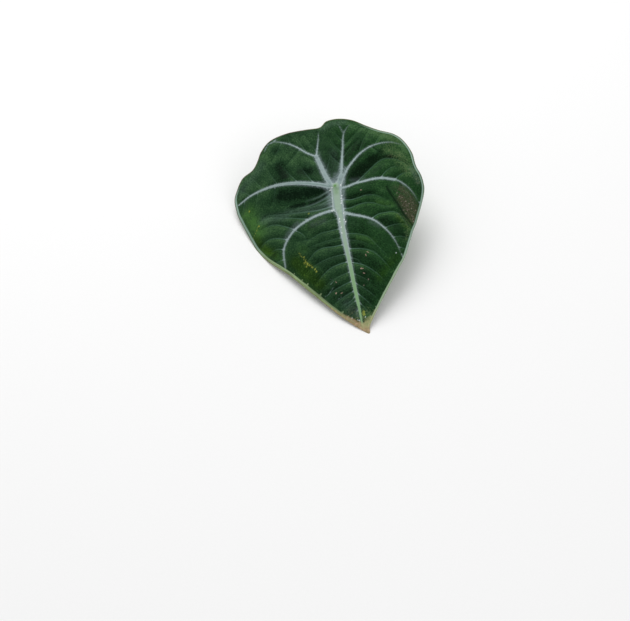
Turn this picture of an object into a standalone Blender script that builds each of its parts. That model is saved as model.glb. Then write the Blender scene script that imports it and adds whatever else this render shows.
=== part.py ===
"""Builds one picked alocasia leaf that lies face up on a surface: its blade and its cut stalk.

Run it with blender --background --python part.py, or from Blender's text editor.

The leaf is drawn flat, in millimetres, round the junction where the stalk joins the blade: u runs
across the blade to the leaf's right and v along it, away from the tip. The drawing is then bent,
tilted and moved to where the leaf lies. The leaf rests on its tip, on its left front margin and on
the far end of its stalk, which stays behind the blade.
"""

import math

import bmesh
import bpy
import numpy as np
from mathutils import Matrix, Vector
from mathutils.geometry import delaunay_2d_cdt

MM = 0.001

# How the leaf lies
JUNCTION = Vector((3.5, 3.8, 34.6))
PITCH = math.radians(17.5)
ROLL = math.radians(-10)

# Wall and ribs
BLADE_THICKNESS = 0.9
DEEPEST_WALL = 4.8
HUB_RADIUS = 3.6
HUB_DEPTH = 3.9
PANEL_RISE = 1.0
PANEL_REACH = 2.2
MARGIN_WIDTH = 2.4
VEIN_LEVEL = 0.45
VEIN_CREST = 0.3
FLANK = 1.15

# How fine the blade's mesh is
EDGE_STEP = 2.4
PRIMARY_STEP = 2.0
SECONDARY_STEP = 2.4
FILL_STEP = 3.2
ROW_SPACING = 0.8
EDGE_CLEARANCE = 1.2

# Stalk
STALK_GAP = 0.35
STALK_TOP_RADIUS = 2.5
STALK_END_RADIUS = 3.3
STALK_FLAT = 0.35
STALK_STEP = 4.0
STALK_POINTS = [(8.5, 13, 18.8), (13.5, 25, 12), (18, 43, 6.6), (21, 64, 3.8)]
STALK_END = (24, 88.5)

# The blade's edge, clockwise from the shallow notch between its back lobes
OUTLINE = [
    (-2.5, 43.0), (2.5, 46.5), (10, 46.5), (19, 43.5), (27, 38), (35, 33), (43.5, 29), (48.5, 24),
    (52, 15), (52.5, 6), (54.5, -2), (54.5, -10), (51.5, -18.5), (45, -32), (41.5, -38), (38, -44.5),
    (32.5, -54.5), (26.5, -62), (12, -80), (5, -89), (2, -93.5), (0.8, -98), (-3, -95), (-9.5, -88.5),
    (-17, -80), (-31, -61.5), (-40.5, -48.5), (-51.5, -35.5), (-57.5, -26), (-61, -17), (-66.5, 2),
    (-67.5, 9), (-67.5, 16), (-66, 21.5), (-60, 28.5), (-51, 30.5), (-47, 34), (-43, 39), (-36, 44.5),
    (-24.5, 45.8), (-12, 44),
]

# Primary veins: points from root to tip, half width there, then rib depth at both ends
PRIMARY_VEINS = {
    "midrib": ([(0, 0), (-0.5, -18), (-1, -43), (-1.4, -63), (-1.2, -82), (0, -95)], (2.6, 0.8), (2.8, 0.7)),
    "left_back": ([(0, 0), (-2.6, 6.5), (-5, 15), (-7.7, 24)], (1.9, 1.4), (2.4, 1.8)),
    "left_back_inner": ([(-7.7, 24), (-6.2, 30), (-4.8, 36), (-3.4, 41)], (1.2, 0.8), (1.6, 0.5)),
    "left_back_outer": ([(-7.7, 24), (-15, 30), (-24, 38), (-34, 42.5), (-39.5, 41)], (1.3, 0.8), (1.8, 0.5)),
    "left_side": ([(0, 0), (-12.5, 5), (-29.5, 11), (-45, 14), (-59, 12.5), (-65, 11)], (1.8, 0.8), (2.4, 0.6)),
    "left_front": ([(-0.5, -16.5), (-12, -16), (-25, -17.5), (-35.5, -23), (-41.5, -32), (-41.2, -43)],
                   (1.3, 0.8), (2.2, 0.6)),
    "right_back": ([(0, 0), (3.5, 5), (5, 9)], (1.9, 1.5), (2.4, 2.0)),
    "right_back_inner": ([(5, 9), (8, 20), (11.5, 34), (15, 39)], (1.4, 0.8), (2.0, 0.5)),
    "right_back_outer": ([(5, 9), (10.5, 14), (19, 20.5), (29.5, 24.5), (39, 25), (47, 22.5)],
                         (1.4, 0.8), (2.2, 0.5)),
    "right_side": ([(0, 0), (6, -2.5), (18.5, 0.2), (31, -0.2), (41, -4), (46.5, -11.5), (49, -18.5)],
                   (1.3, 0.8), (2.2, 0.5)),
    "right_front": ([(-0.5, -17), (8, -21), (17.5, -25), (25, -33), (29.5, -42.5), (31, -51.5)],
                    (1.2, 0.8), (2.0, 0.5)),
}

# Secondary veins, the valleys between the raised panels: start, heading, turn and length
SECONDARY_VEINS = [
    # From the midrib to the left
    (-2, -22.5, 181, 4, 14), (-3, -28, 177, 12, 30), (-3, -34, 178, 14, 36), (-3.5, -39.5, 175, 42, 40),
    (-3.4, -45, 177, 36, 36), (-3.2, -50.2, 185, 28, 32), (-3.3, -56.8, 188, 26, 27),
    (-3.3, -62.8, 191, 20, 22), (-2.8, -69, 196, 16, 17), (-2.4, -75, 200, 14, 12), (-2, -81, 205, 12, 8),
    # From the midrib to the right
    (-1, -29, -14, -46, 32), (-1, -36, -12, -52, 31), (-0.5, -42.5, -14, -52, 30),
    (0, -48, -20, -46, 28), (0.2, -53, -26, -38, 25), (0, -58.5, -33, -30, 22), (-0.3, -64.5, -42, -18, 18),
    (-0.4, -71, -50, -12, 14), (0, -77.5, -58, -6, 9),
    # Between the right side vein and the right front vein
    (2.7, -9.5, 0, -70, 34), (2.2, -15, 2, -42, 30), (18.5, -25, 22, -75, 26), (25, -33, 15, -62, 18),
    (28.5, -40, 0, -55, 13), (30.5, -47, -22, -36, 8), (41.5, -5.5, -74, 6, 22),
    # Between the right side vein and the right back veins
    (29, 0.5, 50, -55, 15), (37.5, -2, 42, -55, 12), (15, 18, -22, 8, 12), (26, 23.5, -48, 20, 10),
    (20, 21.5, 66, -24, 16), (31, 25, 56, -24, 9), (9.6, 26, 38, 2, 18), (7, 16.5, 52, -22, 18),
    # Between the back veins
    (6.4, 14, 130, -28, 14), (8.6, 22.5, 126, -24, 14), (10.6, 30, 120, -16, 12), (-7, 27, 118, -14, 15),
    (-14, 29.5, 112, -18, 14), (-22.5, 37, 104, -14, 8), (-5.8, 18, 148, -22, 13), (-4, 12, 60, 20, 14),
    # Between the left back vein and the left side vein
    (-12.5, 5, 118, -10, 17), (-23.5, 10.5, 121, -10, 16), (-36.5, 14, 112, -6, 16), (-47, 15, 116, 8, 13),
    (-56, 14, 128, 6, 11), (-17.5, 32, 222, -14, 14), (-28.5, 40.5, 236, -10, 13),
    # Between the left side vein and the left front vein
    (-4.5, -6.5, 180, -8, 26), (-5.3, -10.6, 180, -16, 44), (-25, -16.5, 152, 46, 34),
    (-31.5, -20, 142, 62, 28), (-38, -25, 155, 48, 22), (-41, -30.5, 166, 44, 18), (-42, -36.5, 178, 36, 12),
    (-38, 13.5, 262, -34, 13), (-50, 14, 256, -30, 15), (-60, 12, 250, -20, 10),
]

# Folds: points along a crest or valley, its height and its reach to either side
FOLDS = [
    ([(-10, 4), (-30, 11), (-45, 14), (-58, 13)], 1.2, 5),
    ([(-8, -5.5), (-28, -6), (-48, -4)], -1.2, 6),
    ([(7, 10), (19, 20.5), (30, 24), (40, 24.5)], 1.0, 4.5),
    ([(16, 0.5), (26.5, 9.5), (33, 13.5), (40, 11), (50, 4)], -1.4, 4),
    ([(32, -4), (33, -13), (36.5, -20), (41.5, -32)], -1.0, 3),
]

# Waves of the margin: centre, reach across and along, and height
WAVES = [
    (-58, -29, 9, 15, -1.4), (-66, 20, 8, 8, -1.2), (-45, 38, 8, 8, 1.4), (-25, 47, 10, 7, -0.8),
    (54, 8, 8, 8, 1.0), (54, -16, 7, 9, -1.0), (41, -42, 7, 9, 0.8), (40, 32, 8, 8, 0.8), (2, 48, 8, 6, -0.8),
]

BLADE_COLOR = (0.026, 0.062, 0.030)
STALK_COLOR = (0.190, 0.300, 0.120)


def remove_scene_objects():
    for old in list(bpy.data.objects):
        bpy.data.objects.remove(old, do_unlink=True)


def make_material(name, color, roughness):
    material = bpy.data.materials.new(name)
    material.use_nodes = True
    shader = material.node_tree.nodes["Principled BSDF"]
    shader.inputs["Base Color"].default_value = (*color, 1.0)
    shader.inputs["Roughness"].default_value = roughness
    shader.inputs["Metallic"].default_value = 0.0
    return material


def smooth_line(points, step, closed=False):
    """Points a step apart along the smooth curve that passes through the given points."""
    points = [np.array(p, float) for p in points]
    if closed:
        points = [points[-1]] + points + points[:2]
    else:
        points = [2 * points[0] - points[1]] + points + [2 * points[-1] - points[-2]]
    line = []
    for a, b, c, d in zip(points, points[1:], points[2:], points[3:]):
        count = max(1, round(np.linalg.norm(c - b) / step))
        for t in np.arange(count) / count:
            line.append(0.5 * (2 * b + (c - a) * t + (2 * a - 5 * b + 4 * c - d) * t**2
                               + (3 * b - a - 3 * c + d) * t**3))
    if not closed:
        line.append(points[-2])
    return np.array(line)


def bent_line(u, v, heading, turn, length, step):
    """A vein that leaves (u, v) on a heading in degrees and turns more and more along its way."""
    count = max(2, round(length / step))
    travelled = (np.arange(count) + 0.5) / count
    angles = np.radians(heading + turn * travelled**1.5)
    steps = np.stack([np.cos(angles), np.sin(angles)], axis=1) * length / count
    return np.vstack([[(u, v)], (u, v) + np.cumsum(steps, axis=0)])


def nearest(places, line):
    """Distance from each place to the line, and how far along the line that is, from 0 to 1."""
    start, span = line[:-1], np.diff(line, axis=0)
    offset = places[:, None, :] - start[None, :, :]
    share = np.clip((offset * span).sum(-1) / (span**2).sum(-1), 0, 1)
    distance = np.linalg.norm(offset - share[..., None] * span, axis=-1)
    piece = distance.argmin(axis=1)
    row = np.arange(len(places))
    return distance[row, piece], (piece + share[row, piece]) / len(span)


def inside(places, loop):
    """Which places the closed loop surrounds."""
    ahead = np.roll(loop, -1, axis=0)
    x, y = places[:, :1], places[:, 1:]
    crosses = (loop[:, 1] > y) != (ahead[:, 1] > y)
    rise = np.where(ahead[:, 1] == loop[:, 1], 1e-9, ahead[:, 1] - loop[:, 1])
    reach = loop[:, 0] + (y - loop[:, 1]) / rise * (ahead[:, 0] - loop[:, 0])
    return (crosses & (x < reach)).sum(axis=1) % 2 == 1


def primary_lines(step):
    return {name: smooth_line(points, step) for name, (points, _, _) in PRIMARY_VEINS.items()}


def between(ends, along):
    """The value a share of the way from the root's to the tip's."""
    return ends[0] + (ends[1] - ends[0]) * along


def secondary_lines(step):
    return [bent_line(*vein, step) for vein in SECONDARY_VEINS]


def lie_of_blade(places):
    """Height of the bare blade: arched across, bowed along, folded and waved at the margin."""
    u, v = places[:, 0], places[:, 1]
    height = np.where(u < 0, -18.0, -12.0) * (u / 60) ** 2
    height += np.where(v < 0, -0.0006, -0.0005) * v**2
    for points, rise, reach in FOLDS:
        distance, _ = nearest(places, smooth_line(points, 2.0))
        height += rise * np.exp(-((distance / reach) ** 2))
    for centre_u, centre_v, reach_u, reach_v, rise in WAVES:
        height += rise * np.exp(-(((u - centre_u) / reach_u) ** 2) - ((v - centre_v) / reach_v) ** 2)
    return height


def relief_of_panels(places, edge):
    """Height above the valleys' bottom: panels between the veins, low crests on the primary ones."""
    rise = np.full(len(places), PANEL_RISE)
    for line in secondary_lines(2.0):
        distance, _ = nearest(places, line)
        rise = np.minimum(rise, PANEL_RISE * (1 - np.exp(-((distance / PANEL_REACH) ** 2))))
    from_edge, _ = nearest(places, np.vstack([edge, edge[:1]]))
    margin = np.exp(-((from_edge / MARGIN_WIDTH) ** 2))
    rise = rise * (1 - margin) + VEIN_LEVEL * PANEL_RISE * margin
    for name, line in primary_lines(2.0).items():
        distance, along = nearest(places, line)
        width = between(PRIMARY_VEINS[name][1], along)
        near = np.exp(-((distance / (1.6 * width)) ** 2))
        rise = rise * (1 - near) + VEIN_LEVEL * PANEL_RISE * near
        rise += VEIN_CREST * width * np.exp(-((distance / (0.75 * width)) ** 2)) * (1 - margin)
    return rise


def depth_of_ribs(places):
    """How far the ribs under the primary veins stand out beneath the blade."""
    deepest = np.zeros(len(places))
    for name, line in primary_lines(2.0).items():
        distance, along = nearest(places, line)
        _, widths, depths = PRIMARY_VEINS[name]
        across = np.clip(distance / (FLANK * between(widths, along)), 0, 1)
        deepest = np.maximum(deepest, between(depths, along) * np.sqrt(1 - across**2))
    return deepest


def thickness_of_blade(places, height):
    """Thickness of the blade with its ribs and its flat round hub, which stand out beneath it."""
    thickness = BLADE_THICKNESS + depth_of_ribs(places)
    from_junction = np.linalg.norm(places, axis=1)
    hub = (height + HUB_DEPTH) * np.clip(2 - from_junction / HUB_RADIUS, 0, 1)
    thickness = np.where(from_junction < HUB_RADIUS, hub, np.maximum(thickness, hub))
    return np.minimum(thickness, DEEPEST_WALL)


def scatter_places(edge):
    """Where the mesh has its vertices: on the veins and their shoulders, and evenly between them."""
    kept = []

    def keep(candidates, spacing, beside_ribs=False):
        candidates = candidates[inside(candidates, edge)]
        clear = nearest(candidates, np.vstack([edge, edge[:1]]))[0] > EDGE_CLEARANCE
        if beside_ribs:
            clear &= depth_of_ribs(candidates) == 0
        for place in candidates[clear]:
            if not kept or np.linalg.norm(np.array(kept) - place, axis=1).min() > spacing:
                kept.append(place)

    for line in primary_lines(PRIMARY_STEP).values():
        keep(line, 0.55 * PRIMARY_STEP)
    for share in (FLANK, 0.6 * FLANK):
        for name, line in primary_lines(PRIMARY_STEP).items():
            along = np.linspace(0, 1, len(line))[:, None]
            ahead = np.gradient(line, axis=0)
            side = np.stack([-ahead[:, 1], ahead[:, 0]], axis=1) / np.linalg.norm(ahead, axis=1)[:, None]
            aside = share * between(PRIMARY_VEINS[name][1], along) * side
            keep(np.vstack([line + aside, line - aside]), ROW_SPACING)
    for line in secondary_lines(SECONDARY_STEP):
        keep(line, 0.5 * SECONDARY_STEP, beside_ribs=True)
    across = np.arange(edge[:, 0].min(), edge[:, 0].max(), FILL_STEP)
    along = np.arange(edge[:, 1].min(), edge[:, 1].max(), FILL_STEP * math.sqrt(0.75))
    fill = [(u + (row % 2) * FILL_STEP / 2, v) for row, v in enumerate(along) for u in across]
    keep(np.array(fill), 0.55 * FILL_STEP, beside_ribs=True)
    return np.array(kept)


def laid_down():
    """The turn and move that lay the drawn leaf on its surface."""
    return (Matrix.Translation(JUNCTION * MM) @ Matrix.Rotation(PITCH, 4, "X")
            @ Matrix.Rotation(ROLL, 4, "Y") @ Matrix.Scale(MM, 4))


def build_blade(collection):
    edge = smooth_line(OUTLINE, EDGE_STEP, closed=True)
    places = np.vstack([edge, scatter_places(edge)])
    edge_loop = [(i, (i + 1) % len(edge)) for i in range(len(edge))]
    flat, _, faces, *_ = delaunay_2d_cdt([Vector(p) for p in places], edge_loop, [], 1, 1e-4)
    places = np.array([tuple(p) for p in flat])
    height = lie_of_blade(places) + relief_of_panels(places, edge)

    mesh = bpy.data.meshes.new("leaf_blade")
    mesh.from_pydata([(*p, h) for p, h in zip(places, height)], [], faces)
    mesh.transform(laid_down())
    blade = bpy.data.objects.new("leaf_blade", mesh)
    collection.objects.link(blade)
    mesh.materials.append(make_material("blade_green", BLADE_COLOR, 0.55))

    ribs = blade.vertex_groups.new(name="thickness")
    for index, thickness in enumerate(thickness_of_blade(places, height)):
        ribs.add([index], thickness / DEEPEST_WALL, "REPLACE")
    shell = blade.modifiers.new("shell", "SOLIDIFY")
    shell.thickness = DEEPEST_WALL * MM
    shell.offset = -1
    shell.vertex_group = ribs.name
    settle(blade)


def settle(blade):
    """Applies the blade's wall and presses what would reach below the surface flat against it."""
    evaluated = blade.evaluated_get(bpy.context.evaluated_depsgraph_get())
    mesh = bpy.data.meshes.new_from_object(evaluated)
    blade.modifiers.clear()
    blade.data = mesh
    for vertex in mesh.vertices:
        vertex.co.z = max(vertex.co.z, 0.0)
    mesh.shade_smooth()
    mesh.set_sharp_from_angle(angle=math.radians(50))


def stalk_route():
    """The stalk's centre line: it leaves the hub straight down, bends back and runs out along the surface."""
    lie = laid_down()
    top_level = -HUB_DEPTH - STALK_GAP
    start = [lie @ Vector((0, 0, top_level - drop)) for drop in (0, 2, 6)]
    rest = [Vector(p) * MM for p in STALK_POINTS]
    end = Vector((*STALK_END, STALK_END_RADIUS - STALK_FLAT)) * MM
    return smooth_line([tuple(p) for p in start + rest + [end]], STALK_STEP * MM)


def sweep_stalk(line):
    """The round stalk swept along its line, as one closed mesh."""
    curve = bpy.data.curves.new("stalk_guide", "CURVE")
    curve.dimensions = "3D"
    curve.bevel_depth = MM
    curve.bevel_resolution = 5
    curve.use_fill_caps = True
    spline = curve.splines.new("POLY")
    spline.points.add(len(line) - 1)
    for point, place, share in zip(spline.points, line, np.linspace(0, 1, len(line))):
        point.co = (*place, 1)
        point.radius = between((STALK_TOP_RADIUS, STALK_END_RADIUS), share)
    guide = bpy.data.objects.new("stalk_guide", curve)
    bpy.context.scene.collection.objects.link(guide)
    evaluated = guide.evaluated_get(bpy.context.evaluated_depsgraph_get())
    mesh = bpy.data.meshes.new_from_object(evaluated)
    bpy.data.objects.remove(guide, do_unlink=True)
    return mesh


def press_flat(mesh):
    """Cuts away what reaches below the surface, which leaves a flat face to rest on."""
    work = bmesh.new()
    work.from_mesh(mesh)
    bmesh.ops.remove_doubles(work, verts=work.verts, dist=0.05 * MM)
    whole = work.verts[:] + work.edges[:] + work.faces[:]
    cut = bmesh.ops.bisect_plane(work, geom=whole, plane_co=(0, 0, 0), plane_no=(0, 0, 1), clear_inner=True)
    rim = [edge for edge in cut["geom_cut"] if isinstance(edge, bmesh.types.BMEdge)]
    bmesh.ops.contextual_create(work, geom=rim)
    bmesh.ops.recalc_face_normals(work, faces=work.faces)
    work.to_mesh(mesh)
    work.free()


def build_stalk(collection):
    mesh = sweep_stalk(stalk_route())
    mesh.name = "leaf_stalk"
    press_flat(mesh)
    mesh.materials.append(make_material("stalk_green", STALK_COLOR, 0.5))
    mesh.shade_smooth()
    mesh.set_sharp_from_angle(angle=math.radians(40))
    stalk = bpy.data.objects.new("leaf_stalk", mesh)
    collection.objects.link(stalk)


def main():
    remove_scene_objects()
    leaf = bpy.data.collections.new("alocasia leaf")
    bpy.context.scene.collection.children.link(leaf)
    build_blade(leaf)
    build_stalk(leaf)


main()
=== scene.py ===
"""Dresses one picked alocasia leaf: its waved and veined blade, its cut stalk and the stage they lie on.

The leaf is drawn flat, in millimetres, round the junction where the stalk joins the blade: u runs
across the blade to the leaf's right and v along it, away from the tip. The drawing is then bent,
tilted and moved to where the leaf lies, with the same numbers as the leaf's solids.
"""

import math

import bmesh
import bpy
import numpy as np
from mathutils import Matrix, Vector, noise


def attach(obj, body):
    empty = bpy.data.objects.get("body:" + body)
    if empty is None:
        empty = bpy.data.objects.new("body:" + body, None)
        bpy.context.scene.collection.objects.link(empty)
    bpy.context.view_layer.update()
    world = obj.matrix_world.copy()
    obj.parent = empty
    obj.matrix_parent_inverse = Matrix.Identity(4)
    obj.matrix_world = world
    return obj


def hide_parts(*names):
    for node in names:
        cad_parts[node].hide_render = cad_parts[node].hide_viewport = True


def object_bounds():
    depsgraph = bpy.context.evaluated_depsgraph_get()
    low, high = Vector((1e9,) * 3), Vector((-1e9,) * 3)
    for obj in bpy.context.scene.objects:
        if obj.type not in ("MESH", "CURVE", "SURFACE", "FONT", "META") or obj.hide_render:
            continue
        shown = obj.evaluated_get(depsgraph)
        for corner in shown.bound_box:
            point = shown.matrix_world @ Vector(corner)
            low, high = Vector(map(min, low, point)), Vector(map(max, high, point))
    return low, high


bl_info = {
    "name": "Alocasia leaf",
    "version": (1, 0, 0),
    "blender": (4, 5, 0),
    "location": "3D View > Sidebar > Leaf",
    "description": "Builds a picked alocasia leaf, its cut stalk and a plain stage",
    "category": "Add Mesh",
}

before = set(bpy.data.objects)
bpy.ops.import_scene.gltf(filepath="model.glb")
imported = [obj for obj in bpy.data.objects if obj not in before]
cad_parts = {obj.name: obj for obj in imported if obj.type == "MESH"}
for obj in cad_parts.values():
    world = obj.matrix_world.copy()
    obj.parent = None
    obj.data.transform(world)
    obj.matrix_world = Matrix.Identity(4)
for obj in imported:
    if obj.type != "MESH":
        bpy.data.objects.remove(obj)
SOLID_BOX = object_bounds()
MM = 0.001

# How the leaf lies
JUNCTION = Vector((3.5, 3.8, 34.6))
PITCH = math.radians(17.5)
ROLL = math.radians(-10)

# How far the blade's sides drop at a distance from the midrib, and how fast its ends do, in millimetres
DROP_LEFT = -18.0
DROP_RIGHT = -12.0
DROP_DISTANCE = 60
DROP_AHEAD = -0.0006
DROP_BEHIND = -0.0005

# Wall, hub, panels and margin, in millimetres
DEEPEST_WALL = 4.8
HUB_RADIUS = 3.6
HUB_DEPTH = 3.9
PANEL_REACH = 2.0
# How far the painted light and shade on the panels' shoulders reach from each secondary vein
LIT_REACH = 1.1
MARGIN_WIDTH = 2.4
MARGIN_RIDGE = 0.15
MARGIN_RIDGE_AT = 1.5
MARGIN_DIP = 0.22
THIN_WALL_REACH = 2.0
THIN_RIB_REACH = 1.2
THREAD_REACH = 0.5
SCRATCH_REACH = 0.45

# A primary vein's relief, its reaches in shares of the vein's half width
VEIN_LEVEL = 0.25
VEIN_CREST = 0.22
FLAT_REACH = 1.6
CREST_REACH = 0.75
GROOVE_DEPTH = 0.1
GROOVE_AT = 1.35
GROOVE_REACH = 0.35
RIB_FLANK = 1.3

# The midrib's green core: distances from the junction and its half width there, in millimetres
CORE_PLACES = (0, 14, 22, 45, 62, 78, 88)
CORE_WIDTHS = (2.4, 2.3, 1.25, 1.15, 1.2, 1.0, 0.6)

# Where the margin's vein starts to show behind each half of the leaf, and over what length
BAND_LEFT = [[24.0], [8.0]]
BAND_RIGHT = [[41.0], [14.0]]

# How far inside the edge the margin's vein runs, and between which distances the tip and its left
# edge wither
MARGIN_LINE = 0.85
TIP_WITHERS = (81, 88.5)
TIP_EDGE_WITHERS = (70, 77)

# The greener spot over the stalk and start of the midrib, and the turn from one small mark to the next
SAP_SPOT = (-0.55, 0.0)
SAP_LINE = [(-0.4, -1.5), (-0.5, -4.5)]
SPOT_TURN = 2.4

# Stalk, in millimetres
STALK_SUNK = 0.9
STALK_FLARE = 0.8
FLARE_REACH = 2.2
STALK_SWELLING = 0.12
SWELLING_RUN = 13
STALK_UNEVEN = 0.12
STALK_RIDGES = (11, 17)
CUT_INSETS = ((0.22, 0.0), (0.25, -0.22), (0.9, 0.1), (0.9, 0.05))
STALK_DROPS = (0, 2.5, 6.5)
STALK_POINTS = [(8.5, 13, 18.8), (13.5, 25, 12), (18, 43, 6.6), (21, 64, 3.8)]
STALK_END = (24, 88.5)
STALK_FLAT = 0.35
STALK_STEP = 1.2

# How fine lines are drawn, how many places are measured at once, the gap where no line is near, and
# how far a painted distance may fall below the measured gap where two lines meet
LINE_STEP = 1.0
BATCH = 8000
FAR = 99.0
SEAM = 0.35

# The camera: its place from the junction in millimetres, how far it looks down and turns, in degrees
EYE_PLACE = Vector((-113.9, -493.2, 562.0))
EYE_DOWN = 53.97
EYE_TURN = -11.5

# The tables of the drawing. Most of their places were picked by hand on the photo, and a separate script
# turned those picks into the leaf's own millimetres and rounded them

# The blade's edge, clockwise from the shallow notch between its back lobes
OUTLINE = [
    (-2.5, 43), (2.5, 46.5), (10, 46.5), (19, 43.5), (27, 38), (35, 33), (43.5, 29), (48.5, 24),
    (52, 15), (52.5, 6), (54.5, -2), (54.5, -10), (51.5, -18.5), (45, -32), (41.5, -38), (38, -44.5),
    (32.5, -54.5), (26.5, -62), (12, -80), (5, -89), (2, -93.5), (0.8, -98), (-3, -95), (-9.5, -88.5),
    (-17, -80), (-31, -61.5), (-40.5, -48.5), (-51.5, -35.5), (-57.5, -26), (-61, -17), (-66.5, 2),
    (-67.5, 9), (-67.5, 16), (-65.2, 21), (-59.4, 27.4), (-51.3, 29.6), (-46.8, 33.6), (-43, 39), (-36, 44.5),
    (-24.5, 45.8), (-12, 44),
]

# Primary veins: the rib's half width at the root and at the tip; its depth there; the silver's half
# width there, and how strongly the silver shows at the tip; then the points from root to tip
PRIMARY_VEINS = {
    "midrib": ((2.6, 0.8), (2.8, 0.7), (2.1, 0.4, 1), (-0.2, 0), (-1.1, -9.4), (-1.4, -15), (-1.1, -22),
        (-1.8, -38), (-1.8, -52), (-2, -66), (-2, -80), (-2.2, -87), (-2.4, -95)),
    "left_back": ((1.9, 1.4), (2.4, 1.8), (1.7, 1.35, 1), (-2.8, 0.6), (-5.2, 8.2), (-6.8, 15.7),
        (-8.3, 23)),
    "left_back_inner": ((1.2, 0.8), (1.6, 0.5), (0.55, 0.12, -0.1), (-8.3, 23), (-6.4, 29.3), (-4.7, 35),
        (-3.5, 40.8)),
    "left_back_outer": ((1.3, 0.8), (1.8, 0.5), (0.6, 0.2, -0.2), (-8.3, 23), (-14, 27.4), (-19.5, 33.4),
        (-25.6, 38.5), (-33, 42.3), (-39.5, 41)),
    "left_side": ((1.8, 0.8), (2.4, 0.6), (1.5, 0.42, 0.85), (0, -0.8), (-6.5, 1.6), (-13.1, 4.4),
        (-25.9, 9.1), (-39.2, 12.2), (-52.7, 12.7), (-65, 11)),
    "left_front": ((1.3, 0.8), (2.2, 0.6), (0.86, 0.58, 0.42), (-2, -16.3), (-8.1, -15.7), (-20.7, -17.2),
        (-32.3, -21.6), (-40.6, -30.5), (-42.2, -43)),
    "right_back": ((1.9, 1.5), (2.4, 2), (2.1, 1.9, 1), (1.2, -0.5), (3.2, 2.8), (4.6, 5.6)),
    "right_back_inner": ((1.4, 0.8), (2, 0.5), (0.98, 0.25, 0.15), (4, 5), (5.9, 10.8), (7.3, 17.2),
        (9.1, 24), (11.6, 34.1), (15, 39)),
    "right_back_outer": ((1.4, 0.8), (2.2, 0.5), (0.75, 0.2, 0.1), (4, 4), (6, 5.2), (9.8, 10),
        (15.2, 15.2), (20, 18.9), (26.6, 22.1), (33.6, 23.4), (40.5, 23.1), (47, 21)),
    "right_side": ((1.3, 0.8), (2.2, 0.5), (0.74, 0.34, 0), (2, -2.2), (7.4, -2), (13.8, -0.4), (20.3, 0),
        (26.8, -0.1), (33.1, -1.1), (38.9, -3.5), (43.4, -7.7), (46.6, -13), (48.6, -19)),
    "right_front": ((1.2, 0.8), (2, 0.5), (0.88, 0.25, 0.05), (-0.5, -18), (6.3, -21.3), (12.9, -24.1),
        (18.7, -27.6), (23.3, -32.8), (26.9, -38.6), (29.3, -45.2), (30.5, -52)),
}

# Silver without a rib: the midrib's broad root and core, its frosted left side, some veins' broader
# stretches, two veins' ends at the margin, the left back lobe's edge and a fork. The silver's half
# width at the root and at the end and how strongly it shows there, then its points
PLAIN_SILVER = [
    ((3.2, 3.6, 1), (-0.3, -1), (-1.1, -9.4), (-1.5, -14)),
    ((3.4, 1.8, 1), (-1.2, -13.5), (-1, -18), (-1.1, -26)),
    ((1.7, 1, 1), (-1.4, -30), (-1.8, -52), (-2, -66), (-2, -79)),
    ((0.45, 0.25, 0.4), (-2.9, -19), (-3.4, -26), (-3.4, -34), (-3.2, -42), (-3, -50), (-2.7, -60)),
    ((1.2, 0.7, 1), (-2, -14.5), (-5, -15.6), (-8.5, -16)),
    ((0.78, 0.74, 1), (18, -0.1), (24, 0), (31, -0.6), (37, -2.6)),
    ((1.3, 0.7, 1), (-0.5, -18), (3, -19.7), (6.3, -21.3)),
    ((0, 0.35, 0.6), (30.2, -50.5), (31.4, -55)),
    ((0, 0.3, 0.4), (48.2, -17.5), (50.2, -22.5)),
    ((0.25, 0.25, 0.3), (-32.1, 43.5), (-34.4, 42.6), (-38, 41.7), (-40.6, 38)),
    ((0.05, 0, -0.8), (11.8, 34.1), (11.2, 37), (10.1, 41), (9.5, 44)),
    ((0.1, 0, -0.4), (11.8, 34.1), (13.3, 37.2), (15.2, 39), (18.5, 41)),
]

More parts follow.
